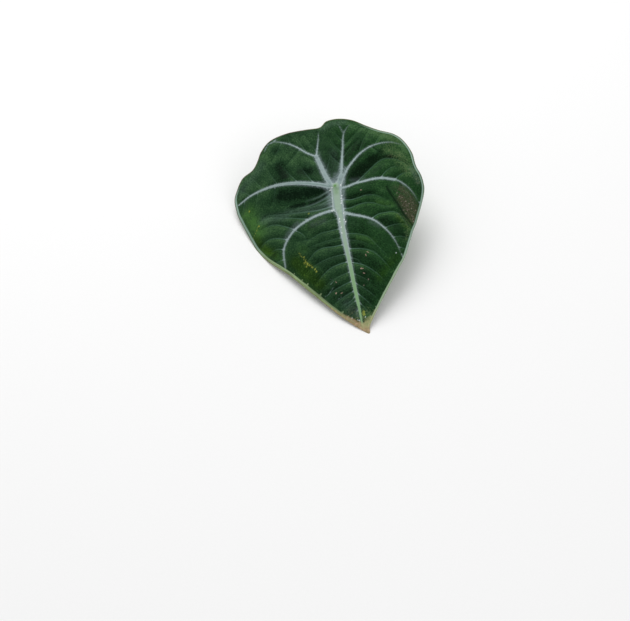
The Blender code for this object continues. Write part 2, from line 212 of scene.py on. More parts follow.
# Secondary veins, the valleys between the raised panels: start, heading, turn, length and clearness
SECONDARY_VEINS = [
    # From the midrib to the left
    (-2.6, -34.7, 178, 14, 26, 0.4), (-3, -45.7, 177, 36, 28, 0.7), (-2.9, -57.5, 188, 26, 20, 0.6),
    (-2.9, -63.5, 191, 20, 22, 1), (-2.4, -69.7, 196, 16, 17, 0.9), (-2, -75.7, 200, 14, 12, 0.7),
    (-1.6, -81.7, 205, 12, 8, 0.6),
    # From the midrib to the right
    (-1.7, -36.7, -12, -52, 22, 0.35), (-0.7, -48.7, -20, -46, 8, 0.5), (-0.7, -59.2, -33, -30, 14, 0.4),
    (-1, -65.2, -42, -18, 18, 0.7), (-1.1, -71.7, -50, -12, 14, 0.9), (-0.7, -78.2, -58, -6, 9, 0.5),
    # Between the right side vein and the right front vein
    (24.7, -33.7, 15, -62, 18, 0.6), (28.2, -40.7, 0, -55, 13, 0.5), (30.2, -47.7, -22, -36, 8, 0.5),
    (41.2, -6.2, -74, 6, 22, 0.2),
    # Between the right side vein and the right back veins
    (28.7, -0.2, 50, -55, 15, 0.9), (37.2, -2.7, 42, -55, 12, 0.9),
    (25.7, 22.8, -48, 20, 10, 0.9), (19.7, 20.8, 66, -24, 16, 0.9), (30.7, 24.3, 56, -24, 9, 0.9),
    (9.3, 25.3, 38, 2, 18, 0.9), (6.7, 15.8, 52, -22, 18, 0.9),
    # Between the back veins
    (6.1, 13.3, 130, -28, 14, 0.9), (8.3, 21.8, 126, -24, 14, 0.9), (10.3, 29.3, 120, -16, 12, 0.9),
    (-7.3, 26.3, 118, -14, 15, 0.9), (-14.3, 28.8, 112, -18, 14, 0.9), (-22.8, 36.3, 104, -14, 8, 0.9),
    (-6.1, 17.3, 148, -22, 13, 0.9), (-4.3, 11.3, 60, 20, 14, 0.9),
    # Between the left back vein and the left side vein
    (-12.8, 4.3, 118, -10, 17, 0.9), (-23.8, 9.8, 121, -10, 16, 0.9), (-36.8, 13.3, 112, -6, 16, 0.9),
    (-47.3, 14.3, 116, 8, 13, 0.9), (-56.3, 13.3, 128, 6, 11, 0.9), (-17.8, 31.3, 222, -14, 14, 0.9),
    (-28.8, 39.8, 236, -10, 13, 0.9),
    # Between the left side vein and the left front vein
    (-42.3, -37.2, 178, 36, 12, 0.6), (-38.3, 12.8, 262, -34, 13, 0.9), (-50.3, 13.3, 256, -30, 15, 0.9),
    (-60.3, 11.3, 250, -20, 10, 0.9),
]

# More of them, drawn point by point where they wind: clearness and points
WINDING_VEINS = [
    # From the midrib to the left
    (0.5, (-3.4, -21.7), (-8, -21.9), (-16, -23), (-21.5, -24.3)),
    (0.8, (-2.9, -28.6), (-9.3, -28.6), (-15.8, -28.5), (-23.4, -30.4), (-30.5, -29.2)),
    (1.3, (-3.8, -39.3), (-9.6, -39.1), (-14.6, -38.3), (-19.9, -38.7), (-24.3, -41.4), (-29.1, -45.3)),
    (1.3, (-3.7, -50.8), (-8.8, -51.1), (-14.2, -52.3), (-20, -55.5), (-24.7, -59.3)),
    (0.8, (-2.6, -72.9), (-6.4, -75.8), (-11.7, -77.2), (-13, -80)),
    # From the midrib to the right
    (0.8, (0.1, -32.8), (7.4, -34.6), (13.1, -37.8), (15.9, -42.1), (18.7, -46.8), (22.5, -52.8)),
    (1.3, (-0.1, -42.8), (6.6, -44.2), (12.4, -46.7), (16.6, -50.9), (19.4, -55.5), (22.5, -61.3)),
    (1.3, (0.5, -52.1), (5.7, -54.6), (10, -58.1), (14, -62.8), (17.3, -68.1)),
    # Between the right side vein and the right front vein
    (1.2, (2.8, -10.1), (7.1, -11.2), (12.3, -10.8), (16.9, -10.1), (22.5, -11), (25.9, -13),
     (29.2, -15.5)),
    (1.2, (1.6, -16.1), (6, -16.5), (11.3, -15.4), (16.5, -15.2), (21.3, -16.4), (24.7, -18.4),
     (28.3, -19.7), (32.9, -19.1)),
    (1.2, (18.1, -25.8), (22.3, -24), (26.1, -23.8), (31.2, -23.9), (34.6, -25.9), (36.8, -30.3),
     (39.9, -36.3)),
    # Right of the junction, below the right back vein
    (1.2, (13.6, 0.4), (19.2, 4.5), (24.6, 8.5), (29.8, 12), (34.6, 13.4), (40.1, 12.2), (44.6, 9.1),
     (47.7, 5.5)),
    # Between the left side vein and the left front vein, and right of the latter
    (1, (-4.8, -4.4), (-8.9, -6.6), (-12.8, -7.6), (-17, -8.1), (-22.3, -8.1), (-27.5, -7.1),
     (-31.7, -7.8)),
    (1, (-5.4, -12.6), (-10.1, -13.1), (-17.8, -12.5), (-25.5, -10.8), (-35.3, -8.5), (-46.5, -5),
     (-51.6, -6.2)),
    (1.1, (-22.6, -16.5), (-28.8, -13.9), (-39, -9.6), (-46.8, -6.6), (-51.7, -6.9)),
    (1.2, (-31.5, -20.7), (-37.5, -16.3), (-43.1, -13), (-47.8, -12.1), (-53.7, -13)),
    (1.2, (-37.8, -25.2), (-43.5, -22.2), (-48.2, -20.9), (-52.7, -21.7), (-56.8, -23.9)),
    (0.8, (-41, -30.8), (-45.6, -28.9), (-50, -29.7)),
    (0.8, (-30.4, -22.2), (-28.1, -24.2), (-26.1, -27.3), (-25.4, -30.4)),
]

# Folds: a crest's or valley's height, its reach to either side and the points along it
FOLDS = [
    (1.2, 5, (-10, 4), (-30, 11), (-45, 14), (-58, 13)),
    (-1.2, 6, (-8, -5.5), (-28, -6), (-48, -4)),
    (1, 4.5, (7, 10), (19, 20.5), (30, 24), (40, 24.5)),
    (-1.4, 4, (16, 0.5), (26.5, 9.5), (33, 13.5), (40, 11), (50, 4)),
    (-1, 3, (32, -4), (33, -13), (36.5, -20), (41.5, -32)),
]

# Waves of the margin: centre, reach across and along, and height
WAVES = [
    (-58, -29, 9, 15, -1.4), (-66, 20, 8, 8, -1.2), (-45, 38, 8, 8, 1.4), (-25, 47, 10, 7, -0.8),
    (54, 8, 8, 8, 1), (54, -16, 7, 9, -1), (41, -42, 7, 9, 0.8), (40, 32, 8, 8, 0.8), (2, 48, 8, 6, -0.8),
]

# Where the green changes: strokes, each with its reach in millimetres, its strength and its points
STROKES = {
    # Darker green, painted shade: the slopes below the crests, the fold valleys and the dips that face away
    # from the light
    "dark": [
        (1.8, 0.4, (24, 6), (29.5, 7)), (1.6, 0.4, (23.5, -17), (27, -16.5)),
        (1.8, 0.55, (-18, -7), (-9, -7)), (2, 0.35, (-27, -36.5), (-22, -36.5)),
        (1.5, 0.55, (9.5, 16), (10, 23)), (1.6, 0.35, (15, 13), (20, 17)),
        (4.5, 0.88, (-9.5, 0), (-23, 1), (-36, 4)), (4, 0.8, (12, 4), (15, 6.5), (21, 10)),
        (3, 0.72, (19, 9.5), (25.5, 13.5), (31.5, 16.5)), (1.4, 0.7, (31, 16), (38, 14)),
        (4, 0.7, (-33, 23), (-31, 16)), (3, 0.7, (-20, 16), (-14.5, 14.5)),
        (4.5, 0.4, (2.5, 21.5), (-1.5, 12.5)), (3, 0.4, (-34.5, 36.5), (-33.5, 35.5)),
        (3.5, 0.5, (13, 19.5), (19.5, 26.5)), (1.2, 0.7, (-22, -6), (-30.5, -5)),
        (3, 0.3, (7.5, -74), (13, -72.5), (17.5, -69)), (5, 0.4, (4, -61.5), (9.5, -68.5), (4.5, -77.5)),
        (4, 0.3, (-15, -63.5), (-9, -70)), (3.5, 0.3, (4, -26.5), (11, -30.5)),
        (3, 0.4, (3, -37), (9, -41.5)), (2, 0.4, (-24, -43.5), (-18.5, -48), (-6.5, -46.5)),
        (4, 0.3, (-22, -65.5), (-12.5, -73.5), (-6, -80.5)), (3, 0.3, (2, -49), (11, -53.5), (16, -59.5)),
        (2.5, 0.4, (8.5, -9), (21.5, -8.5)), (3, 0.5, (24.5, -28.5), (31.5, -33.5), (35, -41.5)),
    ],
    # Paler green, painted light: the crests, waves and slopes that face the light
    "pale": [
        (2.2, 0.55, (-1, 42), (6, 43.5), (14, 42.5), (22, 38.5)), (1.8, 0.5, (-8.5, -26), (-5, -25.5)),
        (2, 0.5, (28, -9), (31, -8)), (1.8, 0.4, (37.5, 9), (40.5, 8)),
        (2.2, 0.45, (-52.8, 8.5), (-42.5, 10)), (2, 0.5, (3, -27), (8, -28)),
        (2.5, 0.55, (20, 29), (25, 31)), (1.8, 0.5, (28, 19), (32, 20)), (2, 0.6, (38, -38), (35.5, -44)),
        (3, 1, (18.5, 38.5), (30, 32.5), (43, 24.5)), (4.5, 0.9, (37.5, 18), (44.5, 13.5), (48, 4)),
        (2.5, 0.4, (20.5, 5.5), (30, 7.5), (40.5, 8)),
        (4, 0.8, (-62, 25), (-51.5, 27), (-42.5, 35), (-32, 41)),
        (4, 0.5, (-46.5, 15), (-56.5, 17), (-61, 15)),
        (5, 0.5, (-42.5, 29.5), (-31, 31.5), (-20, 24.5), (-11, 21)), (4, 0.4, (-18.5, 38), (-11, 37)),
        (3, 0.2, (24.5, -14.5), (29, -19), (32.5, -23.5)), (1.6, 0.5, (26, -25), (32.5, -25.5), (36, -30)),
        (3, 0.4, (-47, -7.5), (-51.5, -9)), (4, 0.35, (-56, -14), (-48.5, -15.5), (-41.5, -20)),
        (2.4, 1, (-1.5, -86.5), (2.5, -87)), (2.5, 1.1, (44.5, 25.5), (47, 21), (48, 16.5)),
        (3, 0.35, (-17.5, -20), (-7, -20)),
    ],
    "grey": [
        (2, 0.6, (-1, 42), (6, 43.5), (14, 42.5)), (1.8, 0.9, (49.5, 4), (50.5, 0), (51.5, -6)),
        (2.3, 0.7, (-8.5, -11.5), (-16, -11), (-23.5, -10), (-34.5, -8)), (3, 0.7, (-35, -10), (-51, -6.5)),
        (3.5, 0.5, (-61.5, 20), (-53.5, 24), (-44.5, 30)), (3, 0.3, (2, 11.5), (3, 24)),
        (2, 0.3, (-26.5, -17), (-14.5, -16)), (3.5, 0.5, (-9, -76), (-7, -82)),
    ],
    "mist": [
        (1.2, 0.25, (10, 1.5), (18, 2)), (1.3, 0.2, (16, -28.5), (21, -32.5)),
        (1.5, 0.36, (-38.5, -24.5), (-34, -20.5), (-29, -17.8)), (1.8, 0.2, (-20, -21.5), (-12, -21)),
        (1.3, 0.25, (-6.3, 19), (-6.3, 25)), (1.4, 0.65, (-6, 0), (-5.5, -4), (-6.5, -12.5)),
        (1.2, 0.7, (5.5, 2.5), (3, -10)), (2, 1.3, (-2.5, 3), (0, 2.5)), (1.8, 0.9, (-0.5, 4.5), (3, 7)),
        (1.2, 0.8, (3.5, 7), (6, 14)), (1.4, 0.9, (5, 3), (8, 10)), (2, 0.25, (-2.5, 5.5), (-5.5, 17.5)),
        (1.8, 0.45, (0.6, 4.5), (1.1, 7)), (1, 0.3, (-3.5, -81.5), (-4, -86)),
    ],
    "fresh": [
        (2, 0.6, (-46, -34), (-43, -36)), (2.5, 0.7, (-54, -26), (-51, -29)),
        (4.8, 1.15, (-59.5, 2), (-58, -4), (-55, -12.5)), (3, 0.6, (-54.5, -10.5), (-52.5, -15)),
        (2, 0.5, (24, -16), (31.5, -19)), (1.8, 0.4, (6.5, -37), (11.5, -38.5), (15.5, -41.5)),
        (2.5, 0.3, (-29.5, -34), (-27.5, -36.5)), (1.2, 0.9, (40, -30.5), (41, -33.5)),
    ],
    "olive": [
        (5, 1.2, (-35, -42), (-30, -49.5), (-23.5, -60)),
        (3, 1, (-57.5, -17.5), (-54.5, -24), (-47.5, -31.5)), (3, 0.5, (-20, -22.5), (-15.5, -21)),
        (2.2, 0.6, (34, -28.5), (37, -35)), (3.2, 0.7, (27.5, -53.5), (20, -59), (14, -65)),
    ],
    "brown": [
        (3.5, 1, (38.5, -16), (40.5, -22), (42.5, -31)), (3, 0.35, (36.5, -8.5), (40.5, -11)),
        (3, 0.8, (40, -9.5), (44, -15.5), (45.5, -22.5)), (2.8, 0.9, (44, -18), (45, -26.5)),
    ],
    # Painted shade: a dark line in the valley of the fold beside the brown patch
    "crease_shade": [
        (0.8, 1, (31, -6.5), (33, -13), (35.5, -19), (38, -27), (41.5, -34.5)),
    ],
    "tan": [
        (1.8, 0.9, (49.5, 4), (50.5, 0), (51.5, -6)), (1.6, 0.7, (38, -38), (35.5, -44)),
        (4, 0.8, (38, 19), (44, 12.5), (47, 2.5)), (2.5, 0.5, (32.5, 34), (41.5, 25.5)),
        (3, 0.7, (38.5, 30.5), (44.5, 23.5)), (1.8, 0.6, (34, -26.5), (37, -31.5), (39, -37.5)),
        (3, 0.8, (-8, -82.5), (-3.5, -86), (2, -85)), (2.4, 2, (-5, -89), (-0.5, -93.5)),
        (2.2, 1.7, (-1, -88), (2.5, -90)),
    ],
    "yellow": [
        (1.2, 0.9, (-32, -36.5), (-29, -42), (-26.5, -46), (-23, -51.5)),
        (1.6, 1.2, (-29, -44), (-26.5, -46.5)), (0.7, 0.9, (-59.5, -15.5), (-56.5, -12), (-54.5, -9.5)),
        (1.4, 1.35, (0, -84), (0, -86)), (1, 0.8, (-7, -86.5), (-4.5, -87.5)),
    ],
}

# Pale threads that fan out from the midrib's left side
THREADS = [
    [(-5.3, -2.2), (-7.6, -3), (-12.1, -4.3), (-16.4, -4.6), (-22.2, -4.7)],
    [(-4, -3.8), (-4.8, -4.4), (-8.8, -6), (-12.7, -7.1), (-17, -7.8), (-22.3, -7.8), (-27.5, -6.9)],
    [(-4.5, -7.5), (-5.2, -7.9), (-8.2, -8.8), (-11.6, -9.7), (-16.2, -10.3)],
    [(-5, -10), (-8.3, -10.4), (-12.4, -11.1)],
    [(-5.4, -12.6), (-10.1, -13.1), (-13.7, -13), (-17.8, -12.3), (-25.5, -10.4)],
    [(-4.2, -5.8), (-6.9, -6.5), (-9.8, -8)],
]

# Small marks: their reach and length in millimetres, and their places in the drawing
SPOTS = {
    "pink_scar": (0.48, 0.9, [
        (14.8, -6.4), (10.6, -47.5), (9, -49.3), (4.3, -56.9), (5.1, -57.3), (5.5, -60.4), (-12.6, -61.8),
        (-14, -68.7), (-10.6, -69.5),
    ]),
    "yellow_scar": (0.55, 0.4, [
        (-29.1, -40.5), (-27.7, -45.3), (-28.6, -46.8), (-23.7, -50.1), (-23.2, -52), (-25.4, -48.1),
        (-54, -9.4), (-58.5, 3), (-20.6, -13.3),
    ]),
    "white_scar": (0.5, 0.4, [
        (-7.6, -86.2), (-4.3, -88.4), (-3.4, -88.8), (0.6, -87.5), (27.6, -51.3),
    ]),
    "frost_dot": (0.55, 0.3, [
        (2.2, -7.3), (1.5, -9), (1.4, -10.7), (0.9, -12.3), (3, -0.1), (-5.8, -15.9), (-4.5, -15.7),
        (1.2, -25), (1.1, -19.2), (-2.7, -0.7), (-4.2, -1.8), (-2.2, -22.3), (-2.4, -24.3),
        (-2.3, -27.9), (-2.6, -31.8), (0.6, -23.5),
    ]),
    "dry_fleck": (0.6, 0.3, [
        (40.6, -18.6), (40.7, -21.3), (43.3, -23.7), (45.5, -25.3), (38.1, -23.9), (39.2, -26.1),
        (43.1, -28.9), (42.7, -32.2), (36.7, -11.8), (37.6, -14.7), (42.5, -20.2), (7.3, -64.7),
        (3.9, -67.7),
    ]),
}

# Scratches, point by point
SCRATCHES = [
    [(-21.2, -68.7), (-18.8, -68.1), (-17.3, -66.9), (-14.8, -64.4)],
    [(-14, -60.7), (-16.3, -62.5)],
    [(-14.4, -73.1), (-11.2, -71.7)],
    [(-16, -59), (-14.7, -59.4)],
]


def tint(red, green, blue):
    """A colour for the shaders from its usual values of 0 to 255."""
    return tuple((((part / 255) + 0.055) / 1.055) ** 2.4 for part in (red, green, blue))


def shaded(value, share):
    return tuple(part * share for part in value)


def color(name, description, value):
    return bpy.props.FloatVectorProperty(
        name=name, description=description, subtype="COLOR", size=3, min=0.0, max=1.0, default=value
    )


def amount(name, description, value, **kind):
    return bpy.props.FloatProperty(name=name, description=description, default=value, **kind)


def length(name, description, value):
    return amount(name, description, value, subtype="DISTANCE", unit="LENGTH", min=0.0, precision=5)


class LeafBladeSettings(bpy.types.PropertyGroup):
    cell: length("Cell", "Width of the cells of the blade's mesh", 0.56 * MM)
    wall: length("Wall", "Thickness of the blade between its ribs", 0.9 * MM)
    rim: length("Rim", "Thickness of the blade at its edge", 0.62 * MM)
    panel_rise: length("Panel rise", "Height of the panels above the valleys between them", 1.0 * MM)
    pucker: length("Pucker", "Height of the small uneven bumps of the panels", 0.10 * MM)
    # Also the painted shade where the dark strokes lie and along the fold's valley by the brown patch
    deep_green: color("Deep green", "Darkest green of the upper side", tint(1, 23, 8))
    leaf_green: color("Leaf green", "Main green of the upper side", tint(29, 58, 33))
    # The lit shoulders of the panels and the pale strokes on the crests that face the light are painted light
    # in this green
    light_green: color("Light green", "Green of the panels' lit shoulders", tint(62, 94, 56))
    fresh_green: color("Fresh green", "Brighter yellowish patches", tint(58, 96, 44))
    olive_shift: color("Olive shift", "What the olive patch multiplies the green by", (1.0, 0.92, 0.3))
    right_shift: color("Right shift", "What the right half multiplies the green by", (0.76, 0.98, 0.68))
    grey_green: color("Grey green", "Dusty bloom on the blade", tint(88, 108, 102))
    brown: color("Brown", "Dry patch by the right margin", tint(57, 56, 39))
    fleck: color("Fleck", "Pale flecks in that patch", tint(146, 134, 124))
    scar: color("Scar", "Small pinkish scars", tint(190, 160, 145))
    yellow: color("Yellow", "Small yellow flecks", tint(140, 146, 62))
    dull_silver: color("Dull silver", "Darker threads of the primary veins", tint(124, 143, 142))
    silver: color("Silver", "Primary veins", tint(155, 170, 171))
    bright_silver: color("Bright silver", "Frosted sides of the broad veins", tint(188, 198, 198))
    frost: color("Frost", "Sparkles on the broad veins", tint(226, 230, 230))
    haze: color("Haze", "Fringe of short hairs along the veins", tint(128, 142, 146))
    thread: color("Thread", "Pale threads left of the midrib", tint(112, 136, 128))
    mint: color("Mint", "Core of the midrib", tint(145, 167, 147))
    sap_green: color("Sap green", "Where the veins meet over the stalk", tint(74, 122, 34))
    tip_mint: color("Tip mint", "Core of the midrib near the tip", tint(122, 158, 112))
    line: color("Line", "Fine secondary veins", tint(76, 106, 92))
    margin: color("Margin", "Vein that runs just inside the edge", tint(142, 168, 154))
    margin_shade: color("Margin shade", "Between that vein and the edge", tint(100, 122, 104))
    low_margin: color("Low margin", "The same vein along the left side", tint(154, 176, 122))
    rim_tan: color("Rim", "Outermost edge of the blade", tint(122, 120, 84))
    rim_pink: color("Pink rim", "Edge of the left back lobe", tint(118, 94, 88))
    dry: color("Dry tip", "Withered tip of the blade", tint(144, 127, 91))
    dry_pink: color("Pink dry tip", "Paler patches of the withered tip", tint(180, 150, 120))
    under_green: color("Under green", "Under side of the blade", tint(104, 132, 88))
    rib_green: color("Rib green", "Ribs of the under side", tint(158, 178, 132))


class LeafStalkSettings(bpy.types.PropertyGroup):
    top_radius: length("Top radius", "Radius of the stalk below the blade", 2.5 * MM)
    end_radius: length("End radius", "Radius of the stalk at its cut", 3.3 * MM)
    ridge: length("Ridge", "Height of the fine ridges that run along the stalk", 0.05 * MM)
    sides: bpy.props.IntProperty(name="Sides", description="Faces round the stalk", min=12, default=48)
    skin: color("Skin", "Skin of the stalk", tint(122, 146, 92))
    skin_dark: color("Dark skin", "Streaks of the skin", tint(88, 112, 66))
    blush: color("Blush", "Brownish blush near the cut", tint(138, 112, 88))
    cut: color("Cut", "Flesh at the cut", tint(186, 194, 150))


class LeafStageSettings(bpy.types.PropertyGroup):
    floor: color("Floor", "Plain pale floor", (0.86, 0.86, 0.86))
    surround: amount("Surround", "Strength of the even light", 0.62)
    key: amount("Key", "Power of the large soft light", 13, unit="POWER")
    fill: amount("Fill", "Power of the front light", 2.5, unit="POWER")
    lens: amount("Lens", "Focal length", 68, subtype="DISTANCE_CAMERA")


class Value:
    """A shader socket. An expression on values adds the Math nodes that work it out."""

    def __init__(self, paint, socket):
        self.paint = paint
        self.socket = socket

    def math(self, operation, *others):
        return self.paint.node("ShaderNodeMath", {"operation": operation}, dict(enumerate((self, *others))))

    def __add__(self, other):
        return self.math("ADD", other)

    def __sub__(self, other):
        return self.math("SUBTRACT", other)

    def __mul__(self, other):
        return self.math("MULTIPLY", other)

    def __rsub__(self, other):
        return self.math("MULTIPLY_ADD", -1.0, other)

    def __abs__(self):
        return self.math("ABSOLUTE")

    __radd__ = __add__
    __rmul__ = __mul__

    def held(self):
        """The value kept between 0 and 1."""
        return self.math("MAXIMUM", 0.0).math("MINIMUM", 1.0)

    def step(self, start, end):
        """Goes smoothly from 0 where the value is start to 1 where it is end."""
        return self.paint.node(
            "ShaderNodeMapRange", {"interpolation_type": "SMOOTHSTEP"},
            {"Value": self, "From Min": start, "From Max": end},
        )


class Paint:
    """Builds one material."""

    def __init__(self, name):
        self.material = bpy.data.materials.new(name)
        self.material.use_nodes = True
        self.tree = self.material.node_tree
        self.shader = self.tree.nodes["Principled BSDF"]

    def outputs(self, kind, settings, values):
        """Adds a node, gives it its settings and then its sockets' values or links."""
        node = self.tree.nodes.new(kind)
        for name, setting in settings.items():
            setattr(node, name, setting)
        sockets = [socket for socket in node.inputs if socket.enabled]
        for key, value in values.items():
            socket = sockets[key] if isinstance(key, int) else next(s for s in sockets if s.name == key)
            self.feed(socket, value)
        return [Value(self, socket) for socket in node.outputs if socket.enabled]

    def feed(self, socket, value):
        if isinstance(value, Value):
            self.tree.links.new(value.socket, socket)
        elif socket.type == "RGBA":
            socket.default_value = (*value, 1.0)
        else:
            socket.default_value = value

    def node(self, kind, settings, values):
        return self.outputs(kind, settings, values)[0]

    def number(self, name):
        """A number that each vertex carries."""
        return self.outputs("ShaderNodeAttribute", {"attribute_name": name}, {})[2]

    def vector(self, name):
        """Three numbers that each vertex carries."""
        return self.outputs("ShaderNodeAttribute", {"attribute_name": name}, {})[1]

    def parts(self, name):
        """The same three numbers, one by one."""
        return self.outputs("ShaderNodeSeparateXYZ", {}, {0: self.vector(name)})

    def own_place(self):
        """The place in the object, in metres."""
        return self.outputs("ShaderNodeTexCoord", {}, {})[3]

    def noise(self, place, scale=1.0, detail=2.0, roughness=0.5):
        """Soft noise from 0 to 1, its grains about 1/scale wide, at a place or at its three parts."""
        if isinstance(place, tuple):
            place = self.node("ShaderNodeCombineXYZ", {}, dict(enumerate(place)))
        values = {"Vector": place, "Scale": scale, "Detail": detail, "Roughness": roughness}
        return self.node("ShaderNodeTexNoise", {}, values)

    def mix(self, share, first, second, way="MIX"):
        settings = {"data_type": "RGBA", "blend_type": way}
        return self.node("ShaderNodeMix", settings, {0: share, "A": first, "B": second})

    def cover(self, base, *layers):
        """Lays colours over the base, one by one: each layer's share, its colour and how they mix."""
        for share, *layer in layers:
            base = self.mix(share, base, *layer)
        return base

    def finish(self, base, roughness, height=None, depth=0.0, **constants):
        """Feeds the shader; a height in millimetres of depth becomes its bumps."""
        self.feed(self.shader.inputs["Base Color"], base)
        self.feed(self.shader.inputs["Roughness"], roughness)
        for name, value in constants.items():
            self.feed(self.shader.inputs[name.replace("_", " ").title().replace("Ior", "IOR")], value)
        if height is not None:
            bump = self.node("ShaderNodeBump", {}, {"Distance": depth * MM, "Height": height})
            self.feed(self.shader.inputs["Normal"], bump)
        return self.material


def smooth_line(points, step=LINE_STEP, closed=False):
    """Points a step apart along the smooth curve that passes through the given points."""
    points = [np.array(p, float) for p in points]
    if closed:
        points = [points[-1]] + points + points[:2]
    else:
        points = [2 * points[0] - points[1]] + points + [2 * points[-1] - points[-2]]
    line = []
    for a, b, c, d in zip(points, points[1:], points[2:], points[3:]):
        count = max(1, round(np.linalg.norm(c - b) / step))
        for t in np.arange(count) / count:
            line.append(0.5 * (2 * b + (c - a) * t + (2 * a - 5 * b + 4 * c - d) * t**2
                               + (3 * b - a - 3 * c + d) * t**3))
    if not closed:
        line.append(points[-2])
    return np.array(line)


def bent_line(u, v, heading, turn, reach):
    """A vein that leaves (u, v) on a heading in degrees and turns more and more along its way."""
    count = max(2, round(reach / LINE_STEP))
    travelled = (np.arange(count) + 0.5) / count
    angles = np.radians(heading + turn * travelled**1.5)
    steps = np.stack([np.cos(angles), np.sin(angles)], axis=1) * reach / count
    return np.vstack([[(u, v)], (u, v) + np.cumsum(steps, axis=0)])


def in_batches(measure, places, line):
    """Measures the places a few thousand at a time, which keeps the tables small."""
    parts = [measure(part, line) for part in np.array_split(places, 1 + len(places) // BATCH)]
    return [np.concatenate(found) for found in zip(*parts)]


def measure_nearest(places, line):
    start, span = line[:-1], np.diff(line, axis=0)
    offset = places[:, None, :] - start[None, :, :]
    share = np.clip((offset * span).sum(-1) / (span**2).sum(-1), 0, 1)
    aside = offset - share[..., None] * span
    piece = (aside**2).sum(-1).argmin(axis=1)
    row = np.arange(len(places))
    aside = aside[row, piece]
    return np.linalg.norm(aside, axis=1), (piece + share[row, piece]) / len(span), aside


def nearest(places, line):
    """Each place's distance from the line, how far along that is from 0 to 1, and the way there."""
    return in_batches(measure_nearest, places, line)


def measure_inside(places, loop):
    ahead = np.roll(loop, -1, axis=0)
    x, y = places[:, :1], places[:, 1:]
    crosses = (loop[:, 1] > y) != (ahead[:, 1] > y)
    rise = np.where(ahead[:, 1] == loop[:, 1], 1e-9, ahead[:, 1] - loop[:, 1])
    reach = loop[:, 0] + (y - loop[:, 1]) / rise * (ahead[:, 0] - loop[:, 0])
    return [(crosses & (x < reach)).sum(axis=1) % 2 == 1]


def inside(places, loop):
    """Which places the closed loop surrounds."""
    return in_batches(measure_inside, places, loop)[0]


def between(ends, along):
    """The value a share of the way from the root's to the tip's."""
    return ends[0] + (ends[1] - ends[0]) * along


def bell(distance, reach):
    return np.exp(-((distance / reach) ** 2))


def length_of(line):
    return np.linalg.norm(np.diff(line, axis=0), axis=1).sum()


def signed(distance, along, aside, line):
    """The distance, below 0 on the line's right, so that it runs evenly through the line."""
    last = len(line) - 1
    ahead = np.gradient(line, axis=0)[np.clip((along * last).round().astype(int), 0, last)]
    return distance * np.where(ahead[:, 0] * aside[:, 1] - ahead[:, 1] * aside[:, 0] < 0, -1, 1)


def laid_down():
    """The turn and move that lay the drawn leaf on its surface."""
    return (Matrix.Translation(JUNCTION * MM) @ Matrix.Rotation(PITCH, 4, "X")
            @ Matrix.Rotation(ROLL, 4, "Y") @ Matrix.Scale(MM, 4))


def edge_loop():
    """The blade's edge as a line that ends where it starts."""
    edge = smooth_line(OUTLINE, closed=True)
    return np.vstack([edge, edge[:1]])


